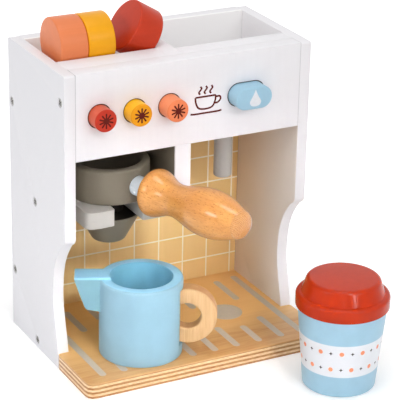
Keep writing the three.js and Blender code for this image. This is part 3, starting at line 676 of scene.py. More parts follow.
def tiled(name, paints, woods, boards, top, front):
    """Honey-coloured tiles with pale joints on the panel's front below a height, and paint elsewhere."""
    finish = Finish(name, woods.tile, 0.5)
    x, y, z = finish.split(finish.place)
    across = finish.calc("DIVIDE", finish.calc("SUBTRACT", x, boards.joint_shift), boards.tile_width)
    upward = finish.calc("DIVIDE", finish.calc("SUBTRACT", z, boards.first_joint), boards.tile_height)
    lines = []
    for value, pitch in ((across, boards.tile_width), (upward, boards.tile_height)):
        half = boards.joint_width / 2 / pitch
        lines.append(finish.below(finish.calc("PINGPONG", value, 0.5), half * 1.25, half * 0.5))
    joints = finish.calc("MAXIMUM", *lines)
    column, row = finish.calc("FLOOR", across), finish.calc("FLOOR", upward)
    cell = finish.add("ShaderNodeCombineXYZ", {0: column, 2: row})
    shade = finish.add("ShaderNodeTexWhiteNoise", {"Vector": cell})
    grain = finish.noise(finish.stretched((60.0, 60.0, 9.0)), 1.0, 4.0, 0.55, 0.6)
    grain_tone = finish.steps(grain, 0.3, 0.7, 0.0, 0.55)
    tone = finish.calc("ADD", finish.calc("MULTIPLY", shade, 0.45), grain_tone)
    light, deep = shaded(woods.tile, (1.015, 1.02, 1.05)), shaded(woods.tile, (0.965, 0.945, 0.9))
    body = finish.mix(tone, light, deep)
    # Painted shade: the tiles darken towards the right.
    right_shade_share = finish.steps(x, -10 * MM, 70 * MM, 0.0, 0.8)
    body = finish.mix(right_shade_share, body, shaded(woods.tile, (0.95, 0.92, 0.87)))
    printed = finish.mix(joints, body, linear(woods.joint))
    # Painted light: above the tiles the front face gets the lighter white, and the back face keeps plain
    # white.
    elsewhere = finish.calc("MAXIMUM", finish.above(z, top, 0.2 * MM), finish.above(y, front, 0.2 * MM))
    at_back = finish.above(y, front + 1 * MM, 1 * MM)
    paint = finish.mix(at_back, linear(paints.painted_light_white), linear(paints.white))
    finish.base(finish.mix(elsewhere, printed, paint))
    finish.bump(finish.calc("MULTIPLY_ADD", grain, 0.5, joints), 0.15, 0.1 * MM)
    finish.coat(0.15, 0.3)
    return finish.material


def layered(name, woods, boards, thickness):
    """Plywood: a grained face above, and pale and dark layers round the edge."""
    finish = Finish(name, woods.ply, 0.42)
    layer_height = thickness / boards.ply_layers
    _, y, z = finish.split(finish.place)
    bands = finish.noise(finish.stretched((11.0, 120.0, 120.0)), 1.0, 4.0, 0.55, 1.2)
    streaks = finish.noise(finish.stretched((22.0, 620.0, 620.0)), 1.0, 4.0, 0.6)
    cloud = finish.noise(finish.place, 16.0, 2.0)
    broad = finish.steps(bands, 0.35, 0.7, 0.0, 0.5)
    tone = finish.calc("ADD", broad, finish.steps(streaks, 0.4, 0.75, 0.0, 0.35))
    tone = finish.calc("ADD", tone, finish.steps(cloud, 0.4, 0.7, 0.0, 0.3))
    face = finish.mix(tone, linear(woods.ply), linear(woods.ply_dark))
    # Painted light: the face grows lighter towards the bay.
    bay_light_share = finish.steps(y, -22 * MM, 25 * MM, 0.0, 0.75)
    face = finish.mix(bay_light_share, face, linear(woods.ply_painted_light))

    wander = finish.noise(finish.stretched((30.0, 30.0, 60.0)), 1.0, 2.0)
    wavy = finish.calc("ADD", z, finish.calc("MULTIPLY", wander, 0.6 * MM))
    level = finish.calc("DIVIDE", wavy, layer_height)
    middle_of_wander = 0.3 * MM / layer_height
    layer = finish.calc("PINGPONG", finish.calc("ADD", level, 0.5 - middle_of_wander), 1.0)
    fibres = finish.noise(finish.stretched((160.0, 160.0, 900.0)), 1.0, 4.0, 0.7)
    fibre_tone = finish.steps(fibres, 0.35, 0.65)
    pale_fibre = linear(blended(woods.ply_edge, woods.ply_dark, 0.4))
    dark_fibre = linear(blended(woods.ply_layer, woods.ply_edge, 0.35))
    pale = finish.mix(fibre_tone, linear(woods.ply_edge), pale_fibre)
    dark = finish.mix(fibre_tone, linear(woods.ply_layer), dark_fibre)
    dark_layer = finish.steps(layer, 0.42, 0.58)
    edge = finish.mix(dark_layer, pale, dark)
    on_top = finish.above(z, thickness - layer_height * 0.75, layer_height * 0.2)
    finish.base(finish.mix(on_top, edge, face))
    sunk_layers = finish.calc("MULTIPLY", dark_layer, -0.6)
    finish.bump(finish.calc("MULTIPLY_ADD", streaks, 0.5, sunk_layers), 0.2, 0.15 * MM)
    finish.coat(0.25, 0.22)
    return finish.material


def banded(name, paints, sizes, axis):
    """Blue paint with a white band that carries rows of orange dots and small dark sparks."""
    finish = Finish(name, paints.blue, 0.4)
    from_foot = finish.add("ShaderNodeVectorMath", {0: finish.place, 1: axis}, operation="SUBTRACT")
    x, y, z = finish.split(from_foot)
    along = finish.calc("MULTIPLY", finish.calc("ARCTAN2", y, x), sizes.band_radius)
    in_band = finish.all_of(
        finish.above(z, sizes.band_low, 0.3 * MM),
        finish.below(z, sizes.band_high, 0.3 * MM),
        finish.above(finish.from_axis(x, y), sizes.band_inside, 1 * MM),
    )
    pitch = FULL_TURN * sizes.band_radius / sizes.band_marks
    middle = (sizes.band_low + sizes.band_high) / 2
    lower_row, upper_row = middle - sizes.row_shift, middle + sizes.row_shift

    def nearest(shift, row):
        """Distances across and up from the nearest mark of a row."""
        cell = finish.calc("ADD", finish.calc("DIVIDE", along, pitch), shift)
        from_middle = finish.calc("SUBTRACT", finish.calc("FRACT", cell), 0.5)
        return finish.calc("MULTIPLY", from_middle, pitch), finish.calc("SUBTRACT", z, row)

    def dots(shift, row):
        distance = finish.from_axis(*nearest(shift, row))
        return finish.below(distance, sizes.dot_radius + 0.15 * MM, 0.3 * MM)

    def sparks(shift, row):
        """Four-pointed marks: the sum of the roots of both distances is small near their axes."""
        roots = [finish.calc("SQRT", finish.calc("ABSOLUTE", value)) for value in nearest(shift, row)]
        edge = math.sqrt(sizes.spark_reach)
        return finish.below(finish.calc("ADD", *roots), edge * 1.06, edge * 0.12)

    orange = finish.calc("MAXIMUM", dots(0.0, lower_row), dots(0.5, upper_row))
    dark = finish.calc("MAXIMUM", sparks(0.5, lower_row), sparks(0.0, upper_row))
    mottle = finish.steps(finish.mottle(), 0.35, 0.65)
    blue = finish.mix(mottle, shaded(paints.blue, 0.985), shaded(paints.blue, 1.008))
    white = finish.mix(mottle, shaded(paints.band, 0.985), linear(paints.band))
    band = finish.mix(dark, finish.mix(orange, white, linear(paints.orange)), linear(paints.spark))
    finish.base(finish.mix(in_band, blue, band))
    finish.bump(finish.skin(), 0.1, 0.1 * MM)
    return finish.material


def metal(name, shown, roughness=0.34):
    """Zinc-plated steel with fine wear."""
    finish = Finish(name, shown, roughness, 1.0)
    wear = finish.noise(finish.place, 900.0, 3.0)
    finish.base(finish.mix(wear, shaded(shown, 0.9), linear(shown)))
    finish.bump(wear, 0.15, 0.05 * MM)
    return finish.material


def ink(name, shown):
    """A matt printed layer."""
    finish = Finish(name, shown, 0.55)
    mottle = finish.noise(finish.place, 420.0, 3.0)
    finish.base(finish.mix(mottle, shaded(shown, 0.95), shaded(shown, 1.03)))
    finish.specular(0.12)
    return finish.material


MATERIALS = {}


def bay_limits(boards):
    """The bay below the front panel, the side boards' outer faces, and where the warmth starts."""
    panel_low, panel_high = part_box("front_panel")
    return {
        "inner": panel_high.x,
        "outer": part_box("right_side")[1].x,
        "top": panel_low.z,
        "low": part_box("base_board")[1].z,
        "front": boards.painted_bounce_start,
        "back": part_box("back_panel")[0].y,
    }


def make_materials(scene):
    """All finishes, by name."""
    paints, woods, metals, boards = scene.toy_paints, scene.toy_woods, scene.toy_metals, scene.toy_boards
    filter_sizes, jug = scene.toy_filter, scene.toy_jug
    bay = bay_limits(boards)
    base_low, base_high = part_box("base_board")
    panel_low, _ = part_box("front_panel")
    divider_low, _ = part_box("divider")
    handle_end = (filter_sizes.handle_start + filter_sizes.handle_length - filter_sizes.end_grain) / MM
    jug_origin = jug_place(jug).translation
    blue_limits = ((jug.bore + 0.5 * MM) / MM, (jug.height - 0.6 * MM) / MM)
    ring_half = jug.ring_width / 2 / MM
    MATERIALS.update(
        white=painted("white_paint", paints.white),
        # Painted shade in the panel's end seams.
        panel_white=painted("panel_paint", paints.white, seam=bay["inner"]),
        left_white=bounce_painted_white("left_side_paint", paints, -1, **bay),
        right_white=bounce_painted_white("right_side_paint", paints, 1, **bay),
        # Painted shade in the button holes.
        gap=painted("hole_edge", paints.gap, 0.7),
        # Painted light on the peg.
        peg=painted("peg_paint", paints.peg, 0.4),
        jug_blue=enamelled("jug_paint", paints, paints.jug_side, jug_origin, *blue_limits),
        # Painted shade on the lip's sides.
        lip_blue=enamelled("lip_paint", paints, paints.lip_blue, jug_origin, *blue_limits),
        pale_grey=painted("pale_grey_paint", paints.pale_grey, 0.4),
        dark_grey=painted("dark_grey_paint", paints.dark_grey, 0.36),
        black=painted("black_paint", paints.black, 0.55),
        blue=painted("blue_paint", paints.blue, 0.42),
        lid_red=painted("lid_paint", paints.lid_red, 0.18, specular=0.2, relief=0.6, tone_depth=0.02),
        tiles=tiled("printed_tiles", paints, woods, boards, bay["top"], bay["back"] + 1 * MM),
        divider=two_toned(
            "divider_paint", paints, divider_low.x + 0.6 * MM, panel_low.z, panel_low.y + 1.5 * MM
        ),
        plywood=layered("varnished_plywood", woods, boards, base_high.z - base_low.z),
        handle=varnished(
            "varnished_beech", woods, arm_origin(filter_sizes), filter_sizes.arm_turn, handle_end
        ),
        ring=ringed("bare_beech", woods, jug_origin, jug.turn, ring_half),
        band=banded("banded_cup", paints, scene.toy_takeaway, upright_axis("takeaway_cup")),
        ink=ink("brown_ink", paints.ink),
        base_ink=ink("grey_ink", paints.base_ink),
        drop_ink=ink("pale_ink", paints.band),
        zinc=metal("zinc", metals.zinc),
        recess=metal("screw_recess", metals.recess, 0.6),
    )
    # Painted sheen: the round buttons' sides are lighter than their ends.
    for name, roughness in (("red", 0.36), ("orange", 0.4), ("yellow", 0.4)):
        face = (button_front(scene.toy_buttons, name), getattr(paints, f"{name}_face"))
        MATERIALS[name] = painted(f"{name}_paint", getattr(paints, name), roughness, face=face)
    pod_finishes = {
        "red": {"roughness": 0.34, "specular": 0.25, "relief": 0.6, "tone_depth": 0.02},
        "orange": {"roughness": 0.36, "specular": 0.3, "relief": 0.6, "tone_depth": 0.015},
        "yellow": {"roughness": 0.32, "specular": 0.3, "relief": 0.8, "tone_depth": 0.02},
    }
    for name, settings in pod_finishes.items():
        shown = getattr(paints, f"capsule_{name}")
        MATERIALS[f"{name}_pod"] = painted(f"{name}_pod_paint", shown, grain_axis=0, **settings)


# Mesh building


def finish_piece(form, name, body, material, replaced=(), smooth=40):
    """Turns a bmesh into a finished piece that rides on a body of the frame."""
    mesh = bpy.data.meshes.new(name)
    form.to_mesh(mesh)
    form.free()
    mesh.materials.append(MATERIALS[material])
    mesh.shade_smooth()
    mesh.set_sharp_from_angle(angle=math.radians(smooth))
    piece = bpy.data.objects.new(name, mesh)
    bpy.context.scene.collection.objects.link(piece)
    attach(piece, body)
    if replaced:
        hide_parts(*replaced)
    return piece


def spun(profile, steps=96, closed=False):
    """A turned form: a profile of (radius, along) points in millimetres, spun about local Z."""
    form = bmesh.new()
    verts = [form.verts.new((radius * MM, 0, along * MM)) for radius, along in profile]
    edges = [form.edges.new(pair) for pair in zip(verts, verts[1:])]
    if closed:
        edges.append(form.edges.new((verts[-1], verts[0])))
    bmesh.ops.spin(
        form,
        geom=verts + edges,
        cent=(0, 0, 0),
        axis=(0, 0, 1),
        angle=FULL_TURN,
        steps=steps,
        use_merge=True,
        use_duplicate=False,
    )
    bmesh.ops.remove_doubles(form, verts=form.verts, dist=WELD)
    bmesh.ops.recalc_face_normals(form, faces=form.faces)
    return form


def raise_faces(form, faces, height):
    """Gives flat faces a height along local Z."""
    raised = bmesh.ops.extrude_face_region(form, geom=faces)["geom"]
    top = [item for item in raised if isinstance(item, bmesh.types.BMVert)]
    bmesh.ops.translate(form, verts=top, vec=(0, 0, height))
    bmesh.ops.recalc_face_normals(form, faces=form.faces)


def slab(outline, thickness, edge=0.0, segments=3):
    """A flat form: an outline of (x, y) points in millimetres, raised along local Z, with soft edges."""
    form = bmesh.new()
    face = form.faces.new([form.verts.new((x * MM, y * MM, 0)) for x, y in outline])
    raise_faces(form, [face], thickness * MM)
    if edge:
        rims = [e for e in form.edges if abs(e.verts[0].co.z - e.verts[1].co.z) < WELD]
        soften(form, rims, edge * MM, segments)
    return form


def soften(form, edges, width, segments=3):
    """Rounds edges."""
    bmesh.ops.bevel(
        form,
        geom=edges,
        offset=width,
        offset_type="OFFSET",
        segments=segments,
        profile=0.5,
        affect="EDGES",
        clamp_overlap=True,
        material=-1,
    )


def placed(form, matrix):
    """Moves a form to its place in the frame."""
    form.transform(matrix)
    return form


def arc_corners(corners, steps=6):
    """An outline whose corners (x, y, radius) are rounded by true arcs."""
    outline = []
    for index, (x, y, radius) in enumerate(corners):
        if radius <= 0:
            outline.append((x, y))
            continue
        here = Vector((x, y))
        before = (Vector(corners[index - 1][:2]) - here).normalized()
        after = (Vector(corners[(index + 1) % len(corners)][:2]) - here).normalized()
        half = before.angle(after) / 2
        reach = radius / math.tan(half)
        centre = here + (before + after).normalized() * (radius / math.sin(half))
        start = here + before * reach - centre
        end = here + after * reach - centre
        sweep = start.angle_signed(end)
        for step in range(steps + 1):
            point = centre + Matrix.Rotation(-sweep * step / steps, 2) @ start
            outline.append((point.x, point.y))
    return outline


def stadium(run, radius, steps=24):
    """The outline of two half discs, each a run from the middle, or of one disc where the run is 0."""
    outline = []
    for centre, start in ((run, -90), (-run, 90)):
        for step in range(steps + 1 if run else steps):
            turn = math.radians(start + 180 * step / steps)
            outline.append((centre + radius * math.cos(turn), radius * math.sin(turn)))
    return outline


def smooth_line(points, steps=6):
    """A line that passes smoothly through its points."""
    line = []
    last = len(points) - 1
    for index in range(last):
        p0, p1, p2, p3 = (Vector(points[min(max(index + k, 0), last)]) for k in (-1, 0, 1, 2))
        first, second, third = p2 - p0, 2 * p0 - 5 * p1 + 4 * p2 - p3, 3 * p1 - p0 - 3 * p2 + p3
        for step in range(steps):
            t = step / steps
            line.append(tuple(0.5 * (2 * p1 + first * t + second * t * t + third * t**3)))
    line.append(tuple(points[-1]))
    return line


def copied(node, edge, segments=3):
    """A frame node's form, merged, with its flat faces joined and its edges softened."""
    form = bmesh.new()
    form.from_mesh(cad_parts[node].data)
    bmesh.ops.remove_doubles(form, verts=form.verts, dist=1e-5)
    flatness = math.radians(0.6)
    bmesh.ops.dissolve_limit(form, angle_limit=flatness, verts=form.verts, edges=form.edges)
    bmesh.ops.recalc_face_normals(form, faces=form.faces)
    soften(form, sharp_edges(form, 30), edge, segments)
    return form


def sharp_edges(form, sharp):
    """Edges between two faces that meet at more than an angle in degrees."""
    limit = math.radians(sharp)
    return [e for e in form.edges if len(e.link_faces) == 2 and e.calc_face_angle(0) > limit]


def centre_of(node):
    low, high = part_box(node)
    return (low + high) / 2


def upright_axis(node):
    """The foot of a node's upright axis."""
    middle = centre_of(node)
    return Vector((middle.x, middle.y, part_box(node)[0].z))


def upright(x, y, z):
    return Matrix.Translation((x, y, z))


def facing_front(x, y, z):
    """Local Z points to the front, local X to the right and local Y up."""
    turn = Matrix(((1, 0, 0, 0), (0, 0, -1, 0), (0, 1, 0, 0), (0, 0, 0, 1)))
    return Matrix.Translation((x, y, z)) @ turn


# Boards


def build_boards(scene):
    """The box's boards and blocks, the base board and the filter holder."""
    boards = scene.toy_boards
    finishes_and_edge_shares = {
        "left_side": ("left_white", 1),
        "right_side": ("right_white", 1),
        "front_panel": ("panel_white", 0.6),
        "left_button_block": ("white", 0.6),
        "right_button_block": ("white", 0.6),
        "divider": ("divider", 0.6),
        "left_bin_floor": ("white", 0.3),
        "right_bin_floor": ("white", 0.3),
    }
    for node, (finish, edge_share) in finishes_and_edge_shares.items():
        form = copied(node, boards.soft_edge * edge_share)
        finish_piece(form, f"{node}_board", "machine", finish, [node])
    form = copied("back_panel", boards.soft_edge * 0.4)
    finish_piece(form, "tiled_back", "machine", "tiles", ["back_panel"])
    form = copied("base_board", boards.base_edge, 4)
    finish_piece(form, "plywood_base", "machine", "plywood", ["base_board"])
    form = copied("filter_holder", boards.holder_edge, 4)
    finish_piece(form, "holder_fork", "machine", "pale_grey", ["filter_holder"], smooth=50)


def build_spout(scene):
    """A dowel with a rounded lower end."""
    foot = upright_axis("water_spout")
    low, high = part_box("water_spout")
    radius, edge, tall = 8.4, 2.2, (high.z - low.z) / MM
    profile = arc_corners([(0, 0, 0), (radius, 0, edge), (radius, tall, 0), (0, tall, 0)])
    form = placed(spun(profile, 64), upright(*foot))
    finish_piece(form, "spout_dowel", "machine", "pale_grey", ["water_spout"])


def screw_head():
    """The domed head of a screw, and its shank."""
    head, shank, shank_end = 3.95, 1.9, -20
    dome = [(0, 0.15), (1.7, 0.1), (3, -0.15), (3.65, -0.55), (head, -1.1), (head, -1.8)]
    return spun(dome + [(shank, -1.8), (shank, shank_end), (0, shank_end)], 32)


def cross_outline(arm, half):
    """The outline of a cross, from one corner turned four times."""
    outline, corner = [], [(half, half), (arm, half), (arm, -half)]
    for _ in range(4):
        outline += corner
        corner = [(y, -x) for x, y in corner]
    return outline


def build_screws(scene):
    """A head on each screw of the side boards, with a dark cross, each turned its own way."""
    first_turn, next_turn, proud = 0.5, 0.9, 0.05 * MM
    arm, half, thick = 2.4, 0.5, 0.12
    nodes = sorted(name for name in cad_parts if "_screw_" in name)
    for index, node in enumerate(nodes):
        low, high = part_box(node)
        head = centre_of(node)
        left = node.startswith("left")
        head.x = low.x if left else high.x
        outward = Vector((-1 if left else 1, 0, 0)).to_track_quat("Z", "Y").to_matrix().to_4x4()
        spin = Matrix.Rotation(first_turn + index * next_turn, 4, "Z")
        matrix = Matrix.Translation(head) @ outward @ spin
        finish_piece(placed(screw_head(), matrix), f"{node}_head", "machine", "zinc", [node])
        # Painted shade: a flat dark cross just proud of the head, in place of its recess.
        cross = slab(cross_outline(arm, half), thick)
        lifted = matrix @ Matrix.Translation((0, 0, proud))
        finish_piece(placed(cross, lifted), f"{node}_cross", "machine", "recess")


# Prints


def bar_outline(x, start, end, width):
    """The outline of a bar with round ends, along Y."""
    run, middle = (end - start - width) / 2, (start + end) / 2
    return [(x - across, middle + along) for along, across in stadium(run, width / 2, 8)]


def print_piece(prints, outline, name, body, material, surface):
    """A mark of ink on a surface that faces local Z, sunk a little into it."""
    sunk = surface @ Matrix.Translation((0, 0, -prints.ink_sink))
    mark = slab(outline, (prints.ink_thickness + prints.ink_sink) / MM)
    finish_piece(placed(mark, sunk), name, body, material)


def build_base_print(scene):
    """Bars, by place across, front end and back end, and discs, each with its mirror image."""
    prints = scene.toy_prints
    front, back, width = mm(prints, "bar_front", "bar_back", "bar_width")
    disc_radius, disc_across, disc_depth = mm(prints, "disc_radius", "disc_across", "disc_depth")
    bars = [(100.4, front, back + 3.6), (79.6, front, 7.2), (79.6, 47.6, back)]
    bars += [(disc_across, front, -3), (disc_across, 64, back)]
    bars += [(33.2, front, 4), (33.2, 47.6, back), (11, front, 7.2), (11, 47.6, back)]
    outlines = [bar_outline(x * side, start, end, width) for x, start, end in bars for side in (-1, 1)]
    for side in (-1, 1):
        disc = stadium(0, disc_radius)
        outlines.append([(disc_across * side + x, disc_depth + y) for x, y in disc])
    surface = upright(0, 0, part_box("base_board")[1].z)
    for index, outline in enumerate(outlines):
        name = f"base_mark_{index + 1}"
        print_piece(prints, outline, name, "machine", "base_ink", surface)


def rosette(prints):
    """The outline of a disc with rays that have round ends and slightly narrower feet."""
    inner, outer, width = mm(prints, "rosette_disc", "rosette_reach", "rosette_ray")
    half = width / 2
    tip_turns = [math.pi * step / 5 for step in range(1, 5)]
    tip = [(-half * math.cos(turn), outer - half + half * math.sin(turn)) for turn in tip_turns]
    ray = [(-half * 0.85, inner), (-half * 0.92, outer - half), *tip]
    ray += [(half * 0.92, outer - half), (half * 0.85, inner)]
    outline = []
    for index in range(prints.rosette_rays):
        turn = Matrix.Rotation(-FULL_TURN * index / prints.rosette_rays, 2)
        outline += [tuple(turn @ Vector(point)) for point in ray]
    return outline


def drop(prints):
    """The outline of a drop, from the right half's places as shares of its width and height."""
    tall, wide = mm(prints, "drop_height", "drop_width")
    half_shares = [(0, 0.5), (0.12, 0.3), (0.3, 0.05), (0.45, -0.12)]
    half_shares += [(0.5, -0.24), (0.44, -0.38), (0.27, -0.47), (0, -0.5)]
    right = [(x * wide, y * tall) for x, y in smooth_line(half_shares, 4)]
    return right + [(-x, y) for x, y in reversed(right[1:-1])]


def build_button_prints(scene):
    """A rosette on each round button, and a drop on the wide one."""
    prints = scene.toy_prints
    for name in ROUND_BUTTONS:
        node = f"{name}_button"
        middle = centre_of(node)
        surface = facing_front(middle.x, button_front(scene.toy_buttons, name), middle.z)
        print_piece(prints, rosette(prints), f"{name}_rosette", node, "ink", surface)
    node = "blue_button"
    low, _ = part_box(node)
    middle = centre_of(node)
    surface = facing_front(middle.x + prints.drop_right, low.y, middle.z + prints.drop_up)
    print_piece(prints, drop(prints), "drop_mark", node, "drop_ink", surface)


def build_panel_print(scene):
    """A small steaming cup in lines of one width: its bowl, rim, handle, saucer and steam."""
    prints = scene.toy_prints
    right = [(3.4, -8.2), (7.4, -6.4), (9.6, -1.5), (10, 3)]
    bowl = [(-x, y) for x, y in reversed(right)] + right
    rim = [(-10, 3), (10, 3)]
    handle = [(10.2, 1.4), (13.8, 1.6), (14.8, -1), (12.4, -3.8), (8.9, -4.2)]
    saucer = [(-14.6, -11.7), (-11, -12.2), (0, -12.2), (12, -12.2), (16, -11.6)]
    strokes = [bowl, rim, handle, saucer]
    for x in (-5.4, 0, 5.4):
        strokes.append([(x, 5.4), (x - 1.3, 7.1), (x, 9), (x + 1.3, 10.9), (x, 12.6)])
    lines = bpy.data.curves.new("cup_lines", "CURVE")
    lines.dimensions = "3D"
    lines.bevel_depth = prints.stroke / 2
    lines.bevel_resolution = 3
    lines.use_fill_caps = True
    for stroke in strokes:
        line = smooth_line(stroke)
        spline = lines.splines.new("POLY")
        spline.points.add(len(line) - 1)
        for point, (x, y) in zip(spline.points, line):
            point.co = (x * MM, y * MM, 0, 1)
    carrier = bpy.data.objects.new("cup_lines", lines)
    form = bmesh.new()
    form.from_mesh(carrier.to_mesh())
    carrier.to_mesh_clear()
    bpy.data.objects.remove(carrier)
    bpy.data.curves.remove(lines)
    flatness = 0.12
    surface = facing_front(prints.picture_centre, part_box("front_panel")[0].y, prints.picture_height)
    flattened = surface @ Matrix.Diagonal((1, 1, flatness, 1))
    finish_piece(placed(form, flattened), "small_cup_mark", "machine", "ink")


# Buttons


def button_front(sizes, name):
    """Where a round button's front end is, with what it is longer than its solid."""
    low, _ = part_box(f"{name}_button")
    return low.y - getattr(sizes, f"{name}_longer")


def wide_run(sizes):
    """Half the distance between the round ends of the wide button, in millimetres."""
    low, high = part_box("blue_button")
    return ((high.x - low.x) / 2 - sizes.radius) / MM


def hole_edge(run, inner, outer, depth):
    """A thin ring that fills the gap between a button and its hole."""
    form = bmesh.new()
    disc = form.faces.new([form.verts.new((x * MM, y * MM, 0)) for x, y in stadium(run, outer)])
    disc.normal_update()
    wide = (outer - inner) * MM
    bmesh.ops.inset_individual(form, faces=[disc], thickness=wide, use_even_offset=True)
    bmesh.ops.delete(form, geom=[disc], context="FACES")
    raise_faces(form, form.faces[:], depth * MM)
    return form


def build_hole_edges(scene):
    """A dark edge in each button hole."""
    sizes = scene.toy_buttons
    ring = mm(sizes, "gap_inner", "gap_outer", "gap_depth")
    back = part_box("front_panel")[0].y + sizes.gap_inset + sizes.gap_depth
    for name in BUTTONS:
        middle = centre_of(f"{name}_button")
        form = hole_edge(0 if name in ROUND_BUTTONS else wide_run(sizes), *ring)
        placed(form, facing_front(middle.x, back, middle.z))
        finish_piece(form, f"{name}_hole_edge", "machine", "gap")


def build_buttons(scene):
    """Three turned buttons with stems, and a wide one."""
    sizes = scene.toy_buttons
    radius, edge, stem, stem_end = mm(sizes, "radius", "edge", "stem_radius", "stem_length")
    for name in ROUND_BUTTONS:
        node = f"{name}_button"
        _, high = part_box(node)
        middle = centre_of(node)
        deep = (high.y - button_front(sizes, name)) / MM
        corners = [(0, 0, 0), (stem, 0, 0), (stem, stem_end, 0), (radius, stem_end, 0)]
        profile = arc_corners([*corners, (radius, deep, edge), (0, deep, 0)])
        form = placed(spun(profile, 72), facing_front(middle.x, high.y, middle.z))
        finish_piece(form, f"{name}_push_button", node, name, [node])
    low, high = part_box("blue_button")
    middle = centre_of("blue_button")
    form = slab(stadium(wide_run(sizes), radius), (high.y - low.y) / MM - stem_end, edge, 4)
    placed(form, facing_front(middle.x, high.y - sizes.stem_length, middle.z))
    finish_piece(form, "blue_push_button", "blue_button", "blue", ["blue_button"])


def build_springs(scene):
    """Each spring shortens as its button goes in."""
    for name in BUTTONS:
        node = f"{name}_button_spring"
        form = bmesh.new()
        form.from_mesh(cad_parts[node].data)
        coil = finish_piece(form, f"{name}_coil", "machine", "zinc", [node], smooth=80)
        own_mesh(coil)


def dress_hidden_nodes(scene):
    """Collars keep their frame meshes and get their finish."""
    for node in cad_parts.values():
        if not node.hide_render:
            node.data.materials.clear()
            node.data.materials.append(MATERIALS["ring"])


# Filter


def arm_origin(sizes):
    """Where the handle's axis meets the cup's."""
    foot = upright_axis("filter_cup")
    return foot + Vector((0, 0, sizes.arm_rise))


def build_filter(scene):
    """The cup, neck and cone about one upright axis, and the peg and handle along the arm."""
    sizes = scene.toy_filter
    axis = upright(*upright_axis("filter_cup"))
    radius, tall, bore, floor = mm(sizes, "cup_radius", "cup_height", "cup_bore", "cup_floor")
    outside = [(0, 0, 0), (radius, 0, 1), (radius, tall, 2.6)]
    inside = [(bore, tall, 2.2), (bore, floor, 3), (0, floor, 0)]
    bowl = placed(spun(arc_corners(outside + inside)), axis)
    finish_piece(bowl, "filter_bowl", "filter", "dark_grey", ["filter_cup"])

    # The neck and a thin disc over the cone's top are near-black.
    radius, long, plate_radius, plate = mm(sizes, "neck_radius", "neck_length", "plate_radius", "plate")
    profile = [(0, -long), (plate_radius, -long), (plate_radius, plate - long), (radius, plate - long)]
    neck = placed(spun([*profile, (radius, 0), (0, 0)], 64), axis)
    finish_piece(neck, "filter_throat", "filter", "black", ["filter_neck"])

    top, tip, start, end = mm(sizes, "cone_top", "cone_tip", "cone_start", "cone_end")
    profile = arc_corners([(0, -end, 0), (tip, -end, 5.2), (top, -start, 1), (0, -start, 0)], 8)
    cone = placed(spun(profile), axis)
    finish_piece(cone, "filter_nozzle", "filter", "dark_grey", ["filter_cone"])

    turn = Matrix.Rotation(sizes.arm_turn, 4, "Z") @ Matrix.Rotation(math.pi / 2, 4, "X")
    arm = Matrix.Translation(arm_origin(sizes)) @ turn
    radius, start, end = mm(sizes, "peg_radius", "peg_start", "peg_end")
    peg = placed(spun([(0, start), (radius, start), (radius, end), (0, end)], 64), arm)
    finish_piece(peg, "arm_peg", "filter", "peg", ["handle_peg"])

    start, long = mm(sizes, "handle_start", "handle_length")
    collar = [(17.6, 0), (20.2, 1.3), (21.6, 4.6), (21.3, 8.6), (19.6, 13.2), (17.6, 18)]
    waist = [(15.8, 23.5), (14.9, 30), (15.5, 37), (17.2, 44.5)]
    belly = [(19.1, 52), (20.6, 60), (21.2, 68), (20.9, 76), (19.6, 84), (17.2, 92)]
    tip = [(14.4, 99.5), (12.9, 103.6), (12.2, 105.4), (11.3, 106.6)]
    cap = [(9, long - 0.9), (6, long - 0.4), (3, long - 0.1), (0, long)]
    profile = [(0, 0), *smooth_line(collar + waist + belly + tip, 5), *cap]
    handle = placed(spun([(out, start + along) for out, along in profile]), arm)
    finish_piece(handle, "turned_handle", "filter", "handle", ["filter_handle"], smooth=50)


# Pods


def build_pods(scene):
    """Three pods on their sides, the red one leaning on the others."""
    sizes = scene.toy_pods
    radius, tall, edge = mm(sizes, "radius", "height", "edge")
    half = tall / 2
    profile = arc_corners([(0, -half, 0), (radius, -half, edge), (radius, half, edge), (0, half, 0)])
    for name, lean in (("orange", 0), ("yellow", 0), ("red", sizes.lean)):
        node = f"{name}_pod"
        matrix = Matrix.Translation(centre_of(node)) @ Matrix.Rotation(math.pi / 2 + lean, 4, "Y")
        finish_piece(placed(spun(profile), matrix), f"{name}_capsule", node, node, [node])


# Jug


def jug_place(sizes):
    """The jug's axis on the base board, with its handle along local X."""
    _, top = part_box("base_board")
    return upright(sizes.across, sizes.depth, top.z) @ Matrix.Rotation(sizes.turn, 4, "Z")


def jug_bowl(sizes):
    """The turned body, with a flat where its ring is seated."""
    radius, tall, bore, floor = mm(sizes, "radius", "height", "bore", "floor")
    low, high = mm(sizes, "flat_low", "flat_high")
    step = 0.1
    outside = [(0, 0, 0), (radius, 0, 1.3), (radius, low, 0), (radius, low + step, 0)]
    outside += [(radius, high - step, 0), (radius, high, 0), (radius, tall, 2.3)]
    form = spun(arc_corners([*outside, (bore, tall, 1.1), (bore, floor, 4), (0, floor, 0)]), 160)
    for vert in form.verts:
        if sizes.flat_low + WELD < vert.co.z < sizes.flat_high - WELD and vert.co.x > sizes.flat:
            vert.co.x = sizes.flat
    return form


